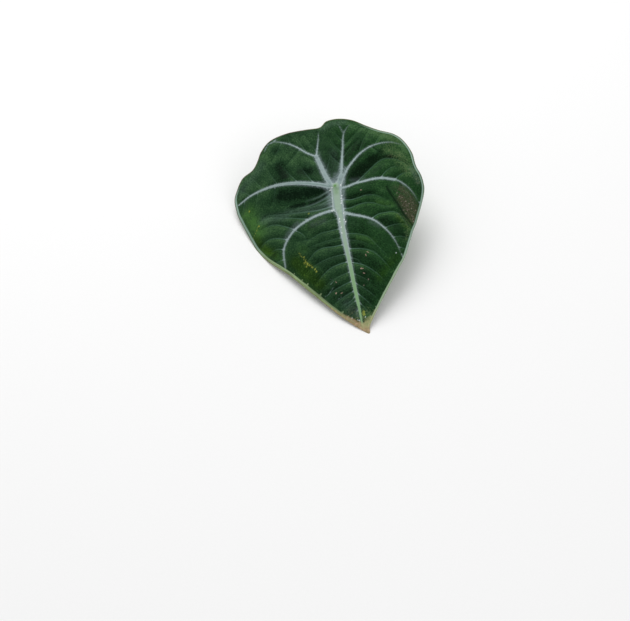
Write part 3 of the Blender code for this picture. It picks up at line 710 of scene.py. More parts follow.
class Drawing:
    """What the drawn leaf says about each place: its veins, margin, ribs and height."""

    def __init__(self, places, leaf):
        self.places = places
        self.leaf = leaf
        loop = edge_loop()
        self.margin, along, _ = nearest(places, loop)
        self.margin_run = along * length_of(loop)
        self.near_edge = bell(self.margin, MARGIN_WIDTH)
        self.start_fields(len(places))
        self.read_side_veins()
        self.read_primary_veins()

    def start_fields(self, count):
        """Before any vein is read, none is near and none adds anything."""
        self.side_gap, self.vein_gap = np.full((2, count), FAR)
        self.side_offset, self.side_run, self.side_strength = np.zeros((3, count))
        self.vein_offset, self.vein_run, self.vein_strength = np.zeros((3, count))
        self.thread, self.lit, self.valley, self.rib, self.crest = np.zeros((5, count))
        self.vein_width = np.ones(count)
        self.flat = self.near_edge

    def take_closer(self, closer, **found):
        """Takes what was found over wherever the line just measured is the closer one."""
        for name, values in found.items():
            setattr(self, name, np.where(closer, values, getattr(self, name)))

    def read_side_veins(self):
        """The nearest secondary vein, the valleys, the painted light and shade on each panel's shoulders, and
        the threads.
        """
        lines = [(bent_line(*vein[:5]), vein[5]) for vein in SECONDARY_VEINS]
        lines += [(smooth_line(points), clear) for clear, *points in WINDING_VEINS]
        for line, clear in lines:
            distance, along, aside = nearest(self.places, line)
            dip = np.exp(-((distance / PANEL_REACH) ** 1.6)) * (1 - 0.3 * along) * min(1, 0.5 + 0.5 * clear)
            self.valley = np.maximum(self.valley, dip)
            # Painted light and shade: above 0 on the shoulder below each vein, which faces the light, and
            # below 0 on the shoulder above it
            lit = -aside[:, 1] * np.exp(0.5 - 0.5 * (distance / LIT_REACH) ** 2) / LIT_REACH
            self.lit += lit * (1 - 0.5 * along) * clear
            self.take_closer(
                distance < self.side_gap, side_gap=distance, side_run=along * length_of(line),
                side_offset=signed(distance, along, aside, line),
                side_strength=clear * (1 - along**2) * np.clip(1.3 - line[0, 1] / 14, 0.3, 1),
            )
        for points in THREADS:
            distance, along, _ = nearest(self.places, smooth_line(points))
            self.thread = np.maximum(self.thread, bell(distance, THREAD_REACH) * (1 - along))

    def read_primary_veins(self):
        """The nearest silver, the midrib's core, and all the crests and ribs."""
        for name, (widths, depths, painted, *points) in PRIMARY_VEINS.items():
            distance, along = self.read_silver(points, painted)
            width = between(widths, along)
            share = distance / width
            if name == "midrib":
                self.core = bell(distance, np.interp(-self.places[:, 1], CORE_PLACES, CORE_WIDTHS))
            self.flat = np.maximum(self.flat, bell(share, FLAT_REACH))
            crest = VEIN_CREST * width * bell(share, CREST_REACH)
            crest -= GROOVE_DEPTH * bell(share - GROOVE_AT, GROOVE_REACH)
            self.crest += crest * (1 - self.near_edge)
            slope = np.clip(1 - (share / RIB_FLANK) ** 2, 0, 1)
            self.rib = np.maximum(self.rib, between(depths, along) * slope**1.3)
        for painted, *points in PLAIN_SILVER:
            self.read_silver(points, painted)

    def read_silver(self, points, painted):
        """Measures a vein and keeps its silver wherever no other vein's is closer."""
        line = smooth_line(points)
        distance, along, aside = nearest(self.places, line)
        width = between(painted, along)
        gap = distance - width
        self.take_closer(
            gap < self.vein_gap, vein_gap=gap, vein_width=width, vein_run=along * length_of(line),
            vein_offset=signed(distance, along, aside, line),
            vein_strength=np.clip(1 - (1 - painted[2]) * along**3, 0, 1),
        )
        return distance, along

    def height(self):
        """Height of the upper side: arched, bowed, folded and waved, with panels and veins on it."""
        u, v = self.places.T
        height = np.where(u < 0, DROP_LEFT, DROP_RIGHT) * (u / DROP_DISTANCE) ** 2
        height += np.where(v < 0, DROP_AHEAD, DROP_BEHIND) * v**2
        for rise, reach, *points in FOLDS:
            height += rise * bell(nearest(self.places, smooth_line(points))[0], reach)
        for centre_u, centre_v, reach_u, reach_v, rise in WAVES:
            height += rise * bell(u - centre_u, reach_u) * bell(v - centre_v, reach_v)
        rise = self.leaf.panel_rise / MM
        height += rise * ((1 - self.valley) * (1 - self.flat) + VEIN_LEVEL * self.flat) + self.crest
        ridge = MARGIN_RIDGE * bell(self.margin - MARGIN_RIDGE_AT, 0.7)
        height += ridge - MARGIN_DIP * bell(self.margin, 0.45)
        return height + self.puckers() * (1 - self.flat)

    def puckers(self):
        """Small uneven bumps, longer across the blade than along it."""
        found = [noise.noise(Vector((u * 0.22, v * 0.35, 3.0))) for u, v in self.places]
        return self.leaf.pucker / MM * np.array(found)

    def thickness(self, height):
        """Thickness of the wall with its ribs and its flat round hub, which stand out beneath it."""
        wall = between((self.leaf.rim / MM, self.leaf.wall / MM), 1 - bell(self.margin, THIN_WALL_REACH))
        thickness = wall + self.rib * (1 - bell(self.margin, THIN_RIB_REACH))
        from_junction = np.linalg.norm(self.places, axis=1)
        hub = (height + HUB_DEPTH) * np.clip(2 - from_junction / HUB_RADIUS, 0, 1)
        thickness = np.where(from_junction < HUB_RADIUS, hub, np.maximum(thickness, hub))
        return np.minimum(thickness, DEEPEST_WALL)

    def drawn(self, line, reach):
        """How strongly a mark along a line covers each place."""
        return bell(nearest(self.places, np.array(line, float))[0], reach)

    def stroke(self, name):
        """How strongly the strokes of that name cover each place."""
        covers = [strength * self.drawn(points, reach) for reach, strength, *points in STROKES[name]]
        return np.max(covers, axis=0)

    def spots(self, reach, drawn_out, centres):
        """Small marks, each drawn out its own way."""
        covers = []
        for index, centre in enumerate(centres):
            turn = SPOT_TURN * index
            half = 0.5 * drawn_out * np.array([math.cos(turn), math.sin(turn)])
            covers.append(self.drawn((centre - half, centre + half), reach))
        return np.max(covers, axis=0)

    def scratches(self):
        return np.max([self.drawn(line, SCRATCH_REACH) for line in SCRATCHES], axis=0)

    def sap(self):
        """The green spot over the stalk and the greener start of the midrib."""
        spot = bell(np.linalg.norm(self.places - SAP_SPOT, axis=1), 1.0)
        return np.maximum(spot, 0.35 * self.drawn(SAP_LINE, 1.4))

    def band(self):
        """How clearly the margin's vein shows: not round the back lobes."""
        u, v = self.places.T
        start, fade = np.where(u < 0, BAND_LEFT, BAND_RIGHT)
        return np.clip((start - v) / fade, 0, 1)


def carry(mesh, name, *parts):
    """Gives each vertex a number or three, for the shaders to read."""
    kind, field = ("FLOAT", "value") if len(parts) == 1 else ("FLOAT_VECTOR", "vector")
    attribute = mesh.attributes.new(name, kind, "POINT")
    attribute.data.foreach_set(field, np.stack(parts, axis=1).astype(np.float32).ravel())


def keep_in_box(mesh):
    """Presses the mesh against the surface it lies on and keeps it inside the solids' box."""
    low, high = (np.array(corner) for corner in SOLID_BOX)
    places = np.empty(len(mesh.vertices) * 3, np.float32)
    mesh.vertices.foreach_get("co", places)
    kept = np.clip(places.reshape(-1, 3), low, high)
    mesh.vertices.foreach_set("co", kept.astype(np.float32).ravel())
    mesh.update()


def mesh_of(work, name):
    mesh = bpy.data.meshes.new(name)
    work.to_mesh(mesh)
    work.free()
    return mesh


def add_object(name, data):
    item = bpy.data.objects.new(name, data)
    bpy.context.scene.collection.objects.link(item)
    return item


def add_piece(name, mesh, node, sharp):
    mesh.name = name
    mesh.shade_smooth()
    mesh.set_sharp_from_angle(angle=math.radians(sharp))
    piece = add_object(name, mesh)
    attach(piece, "root")
    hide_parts(node)


def fill_outline(cell):
    """A grid of even cells inside the blade's edge, its border drawn onto the edge."""
    loop = edge_loop()
    low, high = loop.min(axis=0), loop.max(axis=0)
    counts = np.ceil((high - low) / cell).astype(int) + 2
    spread = Matrix.Translation((*(low + high) / 2, 0)) @ Matrix.Diagonal((*(counts * cell), 1, 1))
    work = bmesh.new()
    bmesh.ops.create_grid(work, x_segments=int(counts[0]), y_segments=int(counts[1]), size=0.5, matrix=spread)
    places = flat_places(work.verts)
    stray = ~inside(places, loop) & (nearest(places, loop)[0] > 0.4 * cell)
    bmesh.ops.delete(work, geom=[v for v, gone in zip(work.verts[:], stray) if gone], context="VERTS")
    bmesh.ops.delete(work, geom=[e for e in work.edges if not e.link_faces], context="EDGES")
    bmesh.ops.delete(work, geom=[v for v in work.verts if not v.link_faces], context="VERTS")
    even_border(work, loop)
    return work


def flat_places(verts):
    return np.array([tuple(vert.co)[:2] for vert in verts])


def even_border(work, loop):
    """Draws the grid's border onto the edge and evens out the cells beside it."""
    border = [v for v in work.verts if v.is_boundary]
    beside = {e.other_vert(v) for v in border for e in v.link_edges}
    beside |= {e.other_vert(v) for v in beside for e in v.link_edges}
    beside = [v for v in beside if not v.is_boundary]
    for _ in range(4):
        draw_onto(border, loop)
        bmesh.ops.smooth_vert(work, verts=border + beside, factor=0.5, use_axis_x=True, use_axis_y=True)
    draw_onto(border, loop)


def draw_onto(verts, loop):
    """Moves each vertex to the loop's nearest point."""
    places = flat_places(verts)
    aside = nearest(places, loop)[2]
    for vert, place in zip(verts, places - aside):
        vert.co = (*place, 0)


def shape_blade(leaf):
    """The blade's mesh, laid down, with what the shaders read on its vertices."""
    work = fill_outline(leaf.cell / MM)
    drawing = Drawing(flat_places(work.verts), leaf)
    height = drawing.height()
    for vert, level in zip(work.verts, height):
        vert.co.z = level
    bmesh.ops.recalc_face_normals(work, faces=work.faces[:])
    if sum(face.normal.z for face in work.faces) < 0:
        bmesh.ops.reverse_faces(work, faces=work.faces[:])
    mesh = mesh_of(work, "blade")
    write_fields(mesh, drawing, height)
    mesh.transform(laid_down())
    return mesh, drawing.thickness(height)


def write_fields(mesh, drawing, height):
    """Puts what the drawing says about each place on the mesh's vertices."""
    carry(mesh, "place", *drawing.places.T, height)
    carry(mesh, "vein", drawing.vein_offset, drawing.vein_run, drawing.vein_width)
    carry(mesh, "side_vein", drawing.side_offset, drawing.side_run, drawing.side_strength)
    carry(mesh, "margin", drawing.margin, drawing.margin_run, drawing.band())
    for name in ("vein_gap", "vein_strength", "side_gap", "lit", "thread", "core", "rib"):
        carry(mesh, name, getattr(drawing, name))
    for name in STROKES:
        carry(mesh, name, drawing.stroke(name))
    for name, marks in SPOTS.items():
        carry(mesh, name, drawing.spots(*marks))
    carry(mesh, "sap", drawing.sap())
    carry(mesh, "scratch", drawing.scratches())


def give_wall(piece, thickness):
    """Gives the blade its wall, ribs and hub below the drawn surface."""
    ribs = piece.vertex_groups.new(name="thickness")
    for index, share in enumerate(thickness / DEEPEST_WALL):
        ribs.add([index], share, "REPLACE")
    wall = piece.modifiers.new("wall", "SOLIDIFY")
    wall.thickness = DEEPEST_WALL * MM
    wall.offset = -1
    wall.vertex_group = ribs.name
    wall.material_offset = 1
    wall.material_offset_rim = 2
    evaluated = piece.evaluated_get(bpy.context.evaluated_depsgraph_get())
    mesh = bpy.data.meshes.new_from_object(evaluated)
    bpy.data.objects.remove(piece, do_unlink=True)
    return mesh


def line_of(paint):
    """How near the closest secondary vein's line is, its run and its strength."""
    offset, run, strength = paint.parts("side_vein")
    return abs(offset).math("MAXIMUM", paint.number("side_gap") - SEAM), run, strength


def greens_of_blade(paint, leaf, place):
    """The upper side's greens, without veins: panels with painted light and shade, bloom, patches and grain.
    """
    pale = paint.number("pale")
    mottle = paint.noise(place, 0.11, 3, 0.6)
    cloud = paint.noise(place, 0.35, 2, 0.6)
    grain = (paint.noise(place, 1.1, 2, 0.9) - 0.5) * 3
    fibre = ((paint.number("side_gap") + cloud * 2.5) * 5.2).math("SINE")
    fibre = fibre * (paint.noise(place, 0.25, 1) * 1.6 - 0.3)
    # Painted light and shade in the tone: lit lightens the shoulder of each panel that faces the light and
    # darkens the other, the pale strokes lighten the crests that face the light and the dark strokes darken
    # the slopes that face away; mottle, cloud, fibre and grain are the green's own
    tone = 0.42 + (mottle - 0.5) * 0.7 + (cloud - 0.5) * 0.3 + paint.number("lit") * 0.26 + fibre * 0.16
    tone = tone + grain * 0.6 + pale * 0.5 - paint.number("dark") * 0.85
    right = paint.parts("place")[0].step(-6, 12) * (1 - pale.held() * 0.8)
    fresh = paint.number("fresh") * (mottle * 0.9 - 0.5 + cloud * 1.7 + grain * 0.8)
    olive = paint.number("olive") * (0.5 + mottle)
    bloom = paint.number("grey") * (0.45 + grain * 0.5 + fibre * 0.25) * 0.6
    # The grey grain is the bloom, made stronger on the pale strokes as a painted sheen
    dust = grain.step(0.1, 0.8) * (0.06 + pale * 0.25)
    green = paint.cover(
        leaf.deep_green,
        (tone.step(-0.3, 0.5), leaf.leaf_green),
        (tone.step(0.4, 1.1), leaf.light_green),
        (right * 0.8, leaf.right_shift, "MULTIPLY"),
        (fresh.held(), leaf.fresh_green),
        (olive.held(), leaf.olive_shift, "MULTIPLY"),
        (bloom.held(), leaf.grey_green),
        (dust, leaf.grey_green),
    )
    return green, grain, fibre


def scars_of_blade(paint, leaf, green, place, grain):
    """The brown patch, the painted shade along the fold's valley beside it, tan speckle and small scars on
    the greens.
    """
    speckle = paint.noise(place, 1.1, 2, 0.7)
    brown = paint.number("brown")
    mottle = paint.noise(place, 1.6, 3, 0.8)
    patch = (brown * 1.1 + (mottle - 0.5) * 4.5).step(0.2, 1.3) * brown.step(0.05, 0.4)
    flecks = paint.noise(place, 1.9, 2, 0.8).step(0.52, 0.68) * brown * 0.5
    flecks = flecks.math("MAXIMUM", paint.number("dry_fleck").step(0.3, 1) * speckle.step(0.3, 0.6) * 0.7)
    tan = grain.step(-0.1, 0.5) * paint.number("tan")
    yellow = (paint.number("yellow") + (speckle - 0.5) * 2.2).step(0.75, 1.3)
    spot = paint.number("yellow_scar").step(0.2, 0.9) * speckle.step(0.2, 0.5)
    scratch = paint.number("scratch").step(0.45, 0.95) * speckle.step(0.35, 0.6)
    white = paint.number("white_scar").step(0.4, 0.9)
    pink = paint.number("pink_scar").step(0.4, 0.9) * speckle.step(0.25, 0.6)
    return paint.cover(
        green,
        # The fold's valley by the brown patch is darkened toward the deep green: painted shade
        (patch * 0.85, leaf.brown), (flecks, leaf.fleck), (paint.number("crease_shade") * 0.9, leaf.deep_green),
        (tan * 0.4, leaf.rim_tan), (yellow * 0.7, leaf.yellow), (spot * 0.8, leaf.yellow),
        (scratch * 0.5, leaf.thread), (white * 0.8, leaf.bright_silver), (pink * 0.75, leaf.scar),
    )


def lines_of_blade(paint, leaf, green, beyond):
    """The fine secondary lines, their bright roots beside the primary veins, and the pale threads."""
    line, run, strength = line_of(paint)
    broken = paint.noise((run * 0.5, line * 0.8, 4))
    fine = line.step(0.5, 0.05) * strength * (0.1 + broken * 0.8 + run.step(9, 0) * 0.35)
    barb = (line + beyond * 0.55).step(0.95, 0.3) * strength
    thread = paint.number("thread") * (broken * 0.8 + 0.2)
    return paint.cover(
        green, ((fine * 0.75).held(), leaf.line), (barb * 0.6, leaf.silver), (thread.held(), leaf.thread)
    )


def silver_of_veins(paint, leaf, beyond, frost):
    """The silver's tones: threaded, grooved left of the junction, mint at the tip, frosted at its sides."""
    across, along, _ = paint.parts("place")
    offset, run, width = paint.parts("vein")
    wide = width.step(0.6, 2.2)
    threads = paint.noise((run * 0.3, offset * 3, 2))
    beside = along + across * 0.35
    groove = abs(offset).step(0.55, 0.1) * run.step(44, 22) * across.step(-2, -4)
    groove = groove * beside.step(2.6, 1.4) * beside.step(-4, -2.5)
    border = beyond.step(-1.3, -0.3) * wide * (1 - along.step(1, 6) * 0.75)
    return paint.cover(
        leaf.dull_silver,
        (threads.step(0.2, 0.7) * (1 - wide * 0.5), leaf.silver),
        (groove * 0.7, leaf.thread),
        (along.step(-45, -75) * 0.6, leaf.tip_mint),
        ((border * frost.step(0.35, 0.65) * 0.85).held(), leaf.bright_silver),
    )


def veins_of_blade(paint, leaf, green):
    """Silver primary veins with a soft fringe, the mint midrib and the fine secondary lines."""
    along = paint.parts("place")[1]
    offset, run, width = paint.parts("vein")
    beyond = (abs(offset) - width).math("MAXIMUM", paint.number("vein_gap") - SEAM)
    shown = paint.number("vein_strength")
    wide = width.step(0.6, 2.2)
    hairs = (run * 1.5 + beyond * 0.8, beyond * 0.5, 0)
    fringe = paint.noise(hairs, roughness=0.7).step(0.4, 0.7)
    combed = 1 - along.step(-40, -65) * 0.6
    haze = beyond.step(1 + wide * 1.2, 0) * (0.12 + fringe * 0.45 + wide * 0.1) * shown * combed
    haze = haze + paint.number("mist") * (0.35 + fringe * 0.5)
    silver = (beyond - (fringe - 0.4) * 0.3).step(0.15 + wide * 0.25, -0.25 - wide * 0.2) * shown
    frost = paint.noise((run * 1.5, offset * 1.5, 6), roughness=0.8)
    core = (paint.number("core") + (frost - 0.5) * 0.5).step(0.25, 0.7)
    base = paint.cover(
        lines_of_blade(paint, leaf, green, beyond),
        (haze.held(), leaf.haze),
        (silver * 0.96, silver_of_veins(paint, leaf, beyond, frost)),
        (core * 0.85, paint.mix(along.step(-30, -65), leaf.mint, leaf.tip_mint)),
        (paint.number("frost_dot").step(0.4, 0.85) * 0.85, leaf.frost),
        (paint.number("sap"), leaf.sap_green),
    )
    return base, silver


def rim_of_blade(paint, leaf):
    """The outermost edge's colour, pink round the left back lobe."""
    across, along, _ = paint.parts("place")
    return paint.mix(across.step(-5, -20) * along.step(-5, 12), leaf.rim_tan, leaf.rim_pink)


def low_left_margin(paint, leaf):
    """The margin's vein along the left side, dark where it is streaked and inside it near the tip."""
    margin, run, _ = paint.parts("margin")
    streaks = paint.noise((run * 0.12, margin * 1.6, 5)).step(0.46, 0.58)
    inner = margin.step(0.7, 1.4) * paint.parts("place")[1].step(-54, -68)
    inner = inner.math("MAXIMUM", streaks * 0.75)
    return paint.mix(inner, leaf.low_margin, shaded(leaf.low_margin, 0.45))


def margin_of_blade(paint, leaf, base):
    """The pale vein inside the edge, the thin dry line outside it and the withered tip."""
    across, along, _ = paint.parts("place")
    margin, run, band = paint.parts("margin")
    low = along.step(-25, -70)
    side = across.step(5, -15)
    left = side * along.step(-18, -36)
    right = across.step(-5, 5) * along.step(-8, -24)
    wander = paint.noise((run * 0.12, 0, 1))
    from_line = margin - (MARGIN_LINE + low * left * 0.3 - right * 0.3 + wander * 0.6)
    ticks = paint.noise((run * 0.4, 0, 1), detail=1).step(0.5, 0.74)
    ticks = ticks * (0.3 + low * 0.7) * (1 - right * 0.5)
    outer = from_line.step(0.3, -0.2) * band
    teeth = (from_line - ticks * 2).step(0.7, 0) * ticks * outer.step(0.5, 0)
    pale = abs(from_line).step(0.6 + side * 0.25, 0.15 + side * 0.15).math("MAXIMUM", teeth)
    shown = band * (0.9 - along.step(12, -5) * (1 - left) * (1 - right) * 0.2)
    worn = margin.step(0.7, 0.25) * (0.25 + left * 0.4 + along.step(5, 20) * 0.5)
    on_left = low_left_margin(paint, leaf)
    on_right = paint.cover(
        leaf.margin,
        (along.step(-42, -66) * 0.45, leaf.low_margin),
        (along.step(-46, -36) * right * 0.45, leaf.margin_shade),
    )
    outside = paint.cover(leaf.margin_shade, (left, on_left), (right * 0.9, on_right))
    base = paint.cover(
        base,
        (outer * (0.75 + right * 0.2), outside),
        (pale * shown, paint.mix(left * 0.8, on_right, on_left)),
        (worn, rim_of_blade(paint, leaf)),
    )
    return tip_of_blade(paint, leaf, base, margin)


def tip_of_blade(paint, leaf, base, margin):
    """The withered tip and, left of it, the dead edge that reaches further up."""
    across, along, _ = paint.parts("place")
    patchy = paint.noise(paint.vector("place"), 0.5, 3, 0.65)
    dry = (along * -1 - margin * 1.6 + (patchy - 0.5) * 10).step(*TIP_WITHERS)
    edge = (along * -1 - margin * 4.5 + (patchy - 0.5) * 8).step(*TIP_EDGE_WITHERS) * across.step(3, -3)
    withered = paint.cover(
        leaf.dry,
        (patchy.step(0.4, 0.65), leaf.dry_pink),
        (across.step(-5, -1) * along.step(-96, -92) * 0.5, leaf.low_margin),
    )
    return paint.mix((dry * 0.85).math("MAXIMUM", edge * 0.6), base, withered)


def paint_top(leaf):
    paint = Paint("leaf_top")
    place = paint.vector("place")
    green, grain, fibre = greens_of_blade(paint, leaf, place)
    green = scars_of_blade(paint, leaf, green, place, grain)
    base, silver = veins_of_blade(paint, leaf, green)
    base = margin_of_blade(paint, leaf, base)
    height = grain * 0.6 + fibre * 0.35 * (1 - silver) + paint.noise(place, 4, 1) * 0.3
    roughness = (0.62 + (grain - 0.5) * 0.25 - silver * 0.06).held()
    return paint.finish(
        base, roughness, height, 0.08, specular_ior_level=0.04, sheen_weight=0.02, sheen_roughness=0.45,
        sheen_tint=tint(190, 205, 195),
    )


def paint_underside(leaf):
    paint = Paint("leaf_underside")
    place = paint.vector("place")
    line, _, strength = line_of(paint)
    mottle = paint.noise(place, 0.13, 3, 0.6)
    mesh_work = paint.noise(place, 0.9, 2, 0.6)
    green = paint.cover(
        shaded(leaf.under_green, 0.62),
        ((mottle * 0.7 + mesh_work * 0.5).step(0.3, 0.9), leaf.under_green),
        (line.step(0.7, 0.1) * strength * 0.6, leaf.rib_green),
        (paint.number("rib").step(0.05, 0.8) * 0.85, leaf.rib_green),
    )
    base = margin_of_blade(paint, leaf, green)
    height = mesh_work * 0.6 + paint.number("side_gap").step(0.9, 0) * strength * 1.2
    return paint.finish(base, 0.5, height, 0.12, specular_ior_level=0.3)


def paint_rim(leaf):
    paint = Paint("leaf_rim")
    place = paint.vector("place")
    across, along, _ = paint.parts("place")
    worn = paint.noise(place, 0.8)
    base = paint.cover(
        rim_of_blade(paint, leaf),
        (worn.step(0.35, 0.7) * 0.6, leaf.low_margin),
        (across.step(8, 20) * along.step(-8, -24) * 0.8, leaf.margin),
        ((along + (worn - 0.5) * 12).step(-80, -90), leaf.dry),
    )
    return paint.finish(base, 0.6, worn, 0.05, specular_ior_level=0.25)


def stalk_route():
    """The stalk's centre line: from inside the hub, down, back and out along the surface."""
    lie = laid_down()
    start = [lie @ Vector((0, 0, STALK_SUNK - HUB_DEPTH - drop)) for drop in STALK_DROPS]
    rest = [Vector(point) * MM for point in STALK_POINTS]
    settings = bpy.context.scene.leaf_stalk
    end = Vector((STALK_END[0] * MM, STALK_END[1] * MM, settings.end_radius - STALK_FLAT * MM))
    return [Vector(point) for point in smooth_line([tuple(p) for p in start + rest + [end]], STALK_STEP * MM)]


def directions(route):
    """Which way the route runs at each of its points."""
    ahead = [(after - before).normalized() for before, after in zip(route, route[2:])]
    return [(route[1] - route[0]).normalized()] + ahead + [(route[-1] - route[-2]).normalized()]


def stalk_radius(settings, run, whole):
    """Radius of the stalk at a distance from its top: flared into the hub, a little swollen at the cut."""
    flare = STALK_FLARE * MM * math.exp(-((run / (FLARE_REACH * MM)) ** 2))
    swelling = STALK_SWELLING * MM * math.sin(run / (SWELLING_RUN * MM))
    return between((settings.top_radius, settings.end_radius), run / whole) + flare + swelling * run / whole


def sweep_stalk(settings):
    """A ring of vertices drawn out along the route, each vertex marked with its side and run."""
    route = stalk_route()
    ahead = directions(route)
    runs = np.concatenate([[0], np.cumsum([(b - a).length for a, b in zip(route, route[1:])])])
    radii = [stalk_radius(settings, run, runs[-1]) for run in runs]
    work = bmesh.new()
    mark = work.verts.layers.float_vector.new("stem")
    ring = bmesh.ops.create_circle(work, segments=settings.sides, radius=radii[0])["verts"]
    for vert in ring:
        vert[mark] = (vert.co.x / radii[0], vert.co.y / radii[0], 0)
    upright = Vector((0, 0, 1)).rotation_difference(ahead[0]).to_matrix()
    bmesh.ops.rotate(work, verts=ring, cent=(0, 0, 0), matrix=upright)
    bmesh.ops.translate(work, verts=ring, vec=route[0])
    bmesh.ops.contextual_create(work, geom=ring)
    edges = work.edges[:]
    for index in range(1, len(route)):
        turn = ahead[index - 1].rotation_difference(ahead[index]).to_matrix()
        ring, edges = draw_out(work, edges, route[index - 1], route[index], turn)
        for vert in ring:
            vert.co = route[index] + (vert.co - route[index]) * (radii[index] / radii[index - 1])
            vert[mark] = (vert[mark][0], vert[mark][1], runs[index] / MM)
    return work, mark, route, ring


def draw_out(work, edges, start, end, turn):
    """Draws the ring's edges out from one point of the route to the next and turns them there."""
    grown = bmesh.ops.extrude_edge_only(work, edges=edges)["geom"]
    ring = [item for item in grown if isinstance(item, bmesh.types.BMVert)]
    bmesh.ops.translate(work, verts=ring, vec=end - start)
    bmesh.ops.rotate(work, verts=ring, cent=end, matrix=turn)
    return ring, [item for item in grown if isinstance(item, bmesh.types.BMEdge)]


def ripple_stalk(work, mark, route, ridge):
    """Raises fine ridges along the stalk and makes it a little uneven."""
    for vert in work.verts:
        side, back, run = vert[mark]
        index = min(range(len(route)), key=lambda i: (route[i] - vert.co).length_squared)
        angle = math.atan2(back, side)
        wave = math.cos(STALK_RIDGES[0] * angle) + 0.6 * math.cos(STALK_RIDGES[1] * angle + run * 0.02)
        uneven = noise.noise(Vector((side * 1.5, back * 1.5, run * 0.12)))
        outward = (vert.co - route[index]).normalized()
        vert.co += outward * (ridge * wave * 0.5 + STALK_UNEVEN * MM * uneven)


def cut_stalk(work, ring):
    """Closes the cut end: a thin skin, then flesh that has shrunk back a little."""
    face = bmesh.ops.contextual_create(work, geom=ring)["faces"][0]
    for inset, sunk in CUT_INSETS:
        face.material_index = 1
        bmesh.ops.inset_region(work, faces=[face], thickness=inset * MM, depth=sunk * MM)
    face.material_index = 1
    bmesh.ops.poke(work, faces=[face])


def shape_stalk(settings):
    work, mark, route, ring = sweep_stalk(settings)
    ripple_stalk(work, mark, route, settings.ridge)
    cut_stalk(work, ring)
    bmesh.ops.recalc_face_normals(work, faces=work.faces[:])
    return mesh_of(work, "stalk")


def paint_skin(settings):
    paint = Paint("stalk_skin")
    side, back, run = paint.parts("stem")
    streaks = paint.noise((side * 3.2, back * 3.2, run * 0.12), 1.6, 3, 0.6)
    fine = paint.noise((side * 3.2, back * 3.2, run * 0.35), 5)
    blotch = paint.noise((side * 2, back * 2, run * 0.3), 0.8, 3)
    base = paint.cover(
        settings.skin_dark,
        (streaks.step(0.35, 0.68), settings.skin),
        ((run.step(45, 100) * blotch.step(0.45, 0.75) * 0.7).held(), settings.blush),
        (fine.step(0.58, 0.75) * 0.25, settings.cut),
    )
    return paint.finish(base, 0.42 + fine * 0.15, streaks * 0.6 + fine * 0.4, 0.08, specular_ior_level=0.35)


def paint_cut(settings):
    paint = Paint("stalk_cut")
    place = paint.own_place()
    cells = paint.node("ShaderNodeTexVoronoi", {}, {"Vector": place, "Scale": 1400})
    damp = paint.noise(place, 500)
    base = paint.cover(
        settings.cut, (damp.step(0.3, 0.7) * 0.5, settings.skin), (cells.step(0.3, 0.1) * 0.6, settings.blush)
    )
    return paint.finish(base, 0.35, cells, 0.08, specular_ior_level=0.4)


class LEAF_OT_blade(bpy.types.Operator):
    """Builds the waved blade with its veins, panels and ribs"""

    bl_idname = "leaf.blade"
    bl_label = "Leaf blade"

    def execute(self, context):
        leaf = context.scene.leaf_blade
        mesh, thickness = shape_blade(leaf)
        draft = add_object("blade_draft", mesh)
        for material in (paint_top(leaf), paint_underside(leaf), paint_rim(leaf)):
            mesh.materials.append(material)
        wall = give_wall(draft, thickness)
        keep_in_box(wall)
        add_piece("blade", wall, "leaf_blade", sharp=50)
        return {"FINISHED"}


class LEAF_OT_stalk(bpy.types.Operator):
    """Builds the cut stalk that lies behind the blade"""

    bl_idname = "leaf.stalk"
    bl_label = "Leaf stalk"

    def execute(self, context):
        settings = context.scene.leaf_stalk
        mesh = shape_stalk(settings)
        for material in (paint_skin(settings), paint_cut(settings)):
            mesh.materials.append(material)
        keep_in_box(mesh)
        add_piece("stalk", mesh, "leaf_stalk", sharp=40)
        return {"FINISHED"}


class LEAF_OT_stage(bpy.types.Operator):
    """Sets the pale floor, the soft lights and the camera"""

    bl_idname = "leaf.stage"
    bl_label = "Stage"

    def execute(self, context):
        settings = context.scene.leaf_stage
        add_floor(settings)
        add_light("key_light", settings.key, size=1.1, place=(-0.15, 0.75, 1.15))
        add_light("front_light", settings.fill, size=0.9, place=(0.5, -0.9, 0.9))
        light_surround(settings)
        add_camera(settings)
        context.scene.view_settings.view_transform = "Standard"
        return {"FINISHED"}


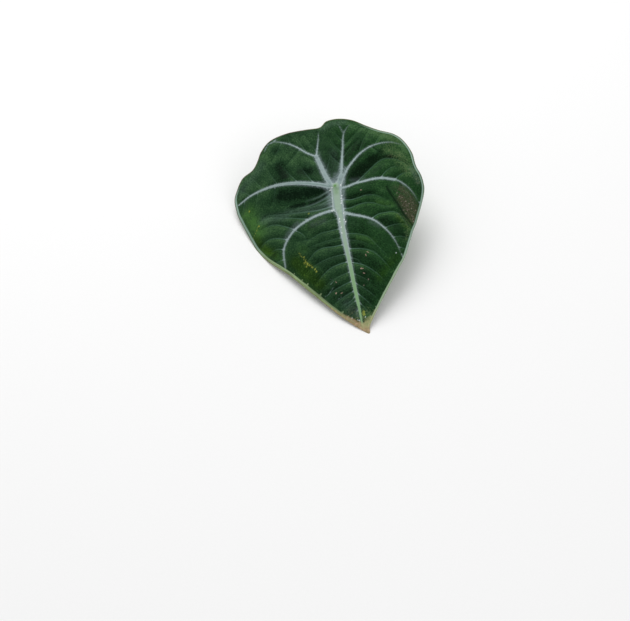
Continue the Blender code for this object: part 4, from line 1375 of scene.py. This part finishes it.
def add_floor(settings):
    work = bmesh.new()
    bmesh.ops.create_grid(work, x_segments=1, y_segments=1, size=4.0)
    mesh = mesh_of(work, "floor")
    paint = Paint("floor_paper")
    base = paint.mix(paint.noise(paint.own_place(), 900.0), shaded(settings.floor, 0.97), settings.floor)
    mesh.materials.append(paint.finish(base, 0.9, specular_ior_level=0.1))
    floor = add_object("floor", mesh)


def add_light(name, power, size, place):
    light = bpy.data.lights.new(name, "AREA")
    light.energy = power
    light.size = size
    lamp = add_object(name, light)
    lamp.location = place
    lamp.rotation_euler = Vector(place).to_track_quat("Z", "Y").to_euler()


def light_surround(settings):
    world = bpy.data.worlds.new("surround")
    world.use_nodes = True
    background = world.node_tree.nodes["Background"]
    background.inputs["Color"].default_value = (1.0, 1.0, 1.0, 1.0)
    background.inputs["Strength"].default_value = settings.surround
    bpy.context.scene.world = world


def add_camera(settings):
    camera = bpy.data.cameras.new("camera")
    camera.lens = settings.lens
    camera.sensor_width = 36.0
    camera.clip_end = 20.0
    eye = add_object("camera", camera)
    eye.location = (JUNCTION + EYE_PLACE) * MM
    eye.rotation_euler = (math.radians(90 - EYE_DOWN), 0.0, math.radians(EYE_TURN))
    bpy.context.scene.camera = eye


class LEAF_PT_panel(bpy.types.Panel):
    """Lists the leaf's pieces and their settings"""

    bl_idname = "LEAF_PT_panel"
    bl_label = "Alocasia leaf"
    bl_space_type = "VIEW_3D"
    bl_region_type = "UI"
    bl_category = "Leaf"

    def draw(self, context):
        for name in GROUPS:
            box = self.layout.box()
            box.operator("leaf." + name)
            settings = getattr(context.scene, "leaf_" + name)
            for key in settings.__annotations__:
                box.prop(settings, key)


GROUPS = {"blade": LeafBladeSettings, "stalk": LeafStalkSettings, "stage": LeafStageSettings}
CLASSES = (*GROUPS.values(), LEAF_OT_blade, LEAF_OT_stalk, LEAF_OT_stage, LEAF_PT_panel)


def register():
    for item in CLASSES:
        bpy.utils.register_class(item)
    for name, group in GROUPS.items():
        setattr(bpy.types.Scene, "leaf_" + name, bpy.props.PointerProperty(type=group))


def unregister():
    for name in GROUPS:
        delattr(bpy.types.Scene, "leaf_" + name)
    for item in reversed(CLASSES):
        bpy.utils.unregister_class(item)


def main():
    register()
    bpy.ops.leaf.blade()
    bpy.ops.leaf.stalk()
    bpy.ops.leaf.stage()


if __name__ == "__main__":
    main()
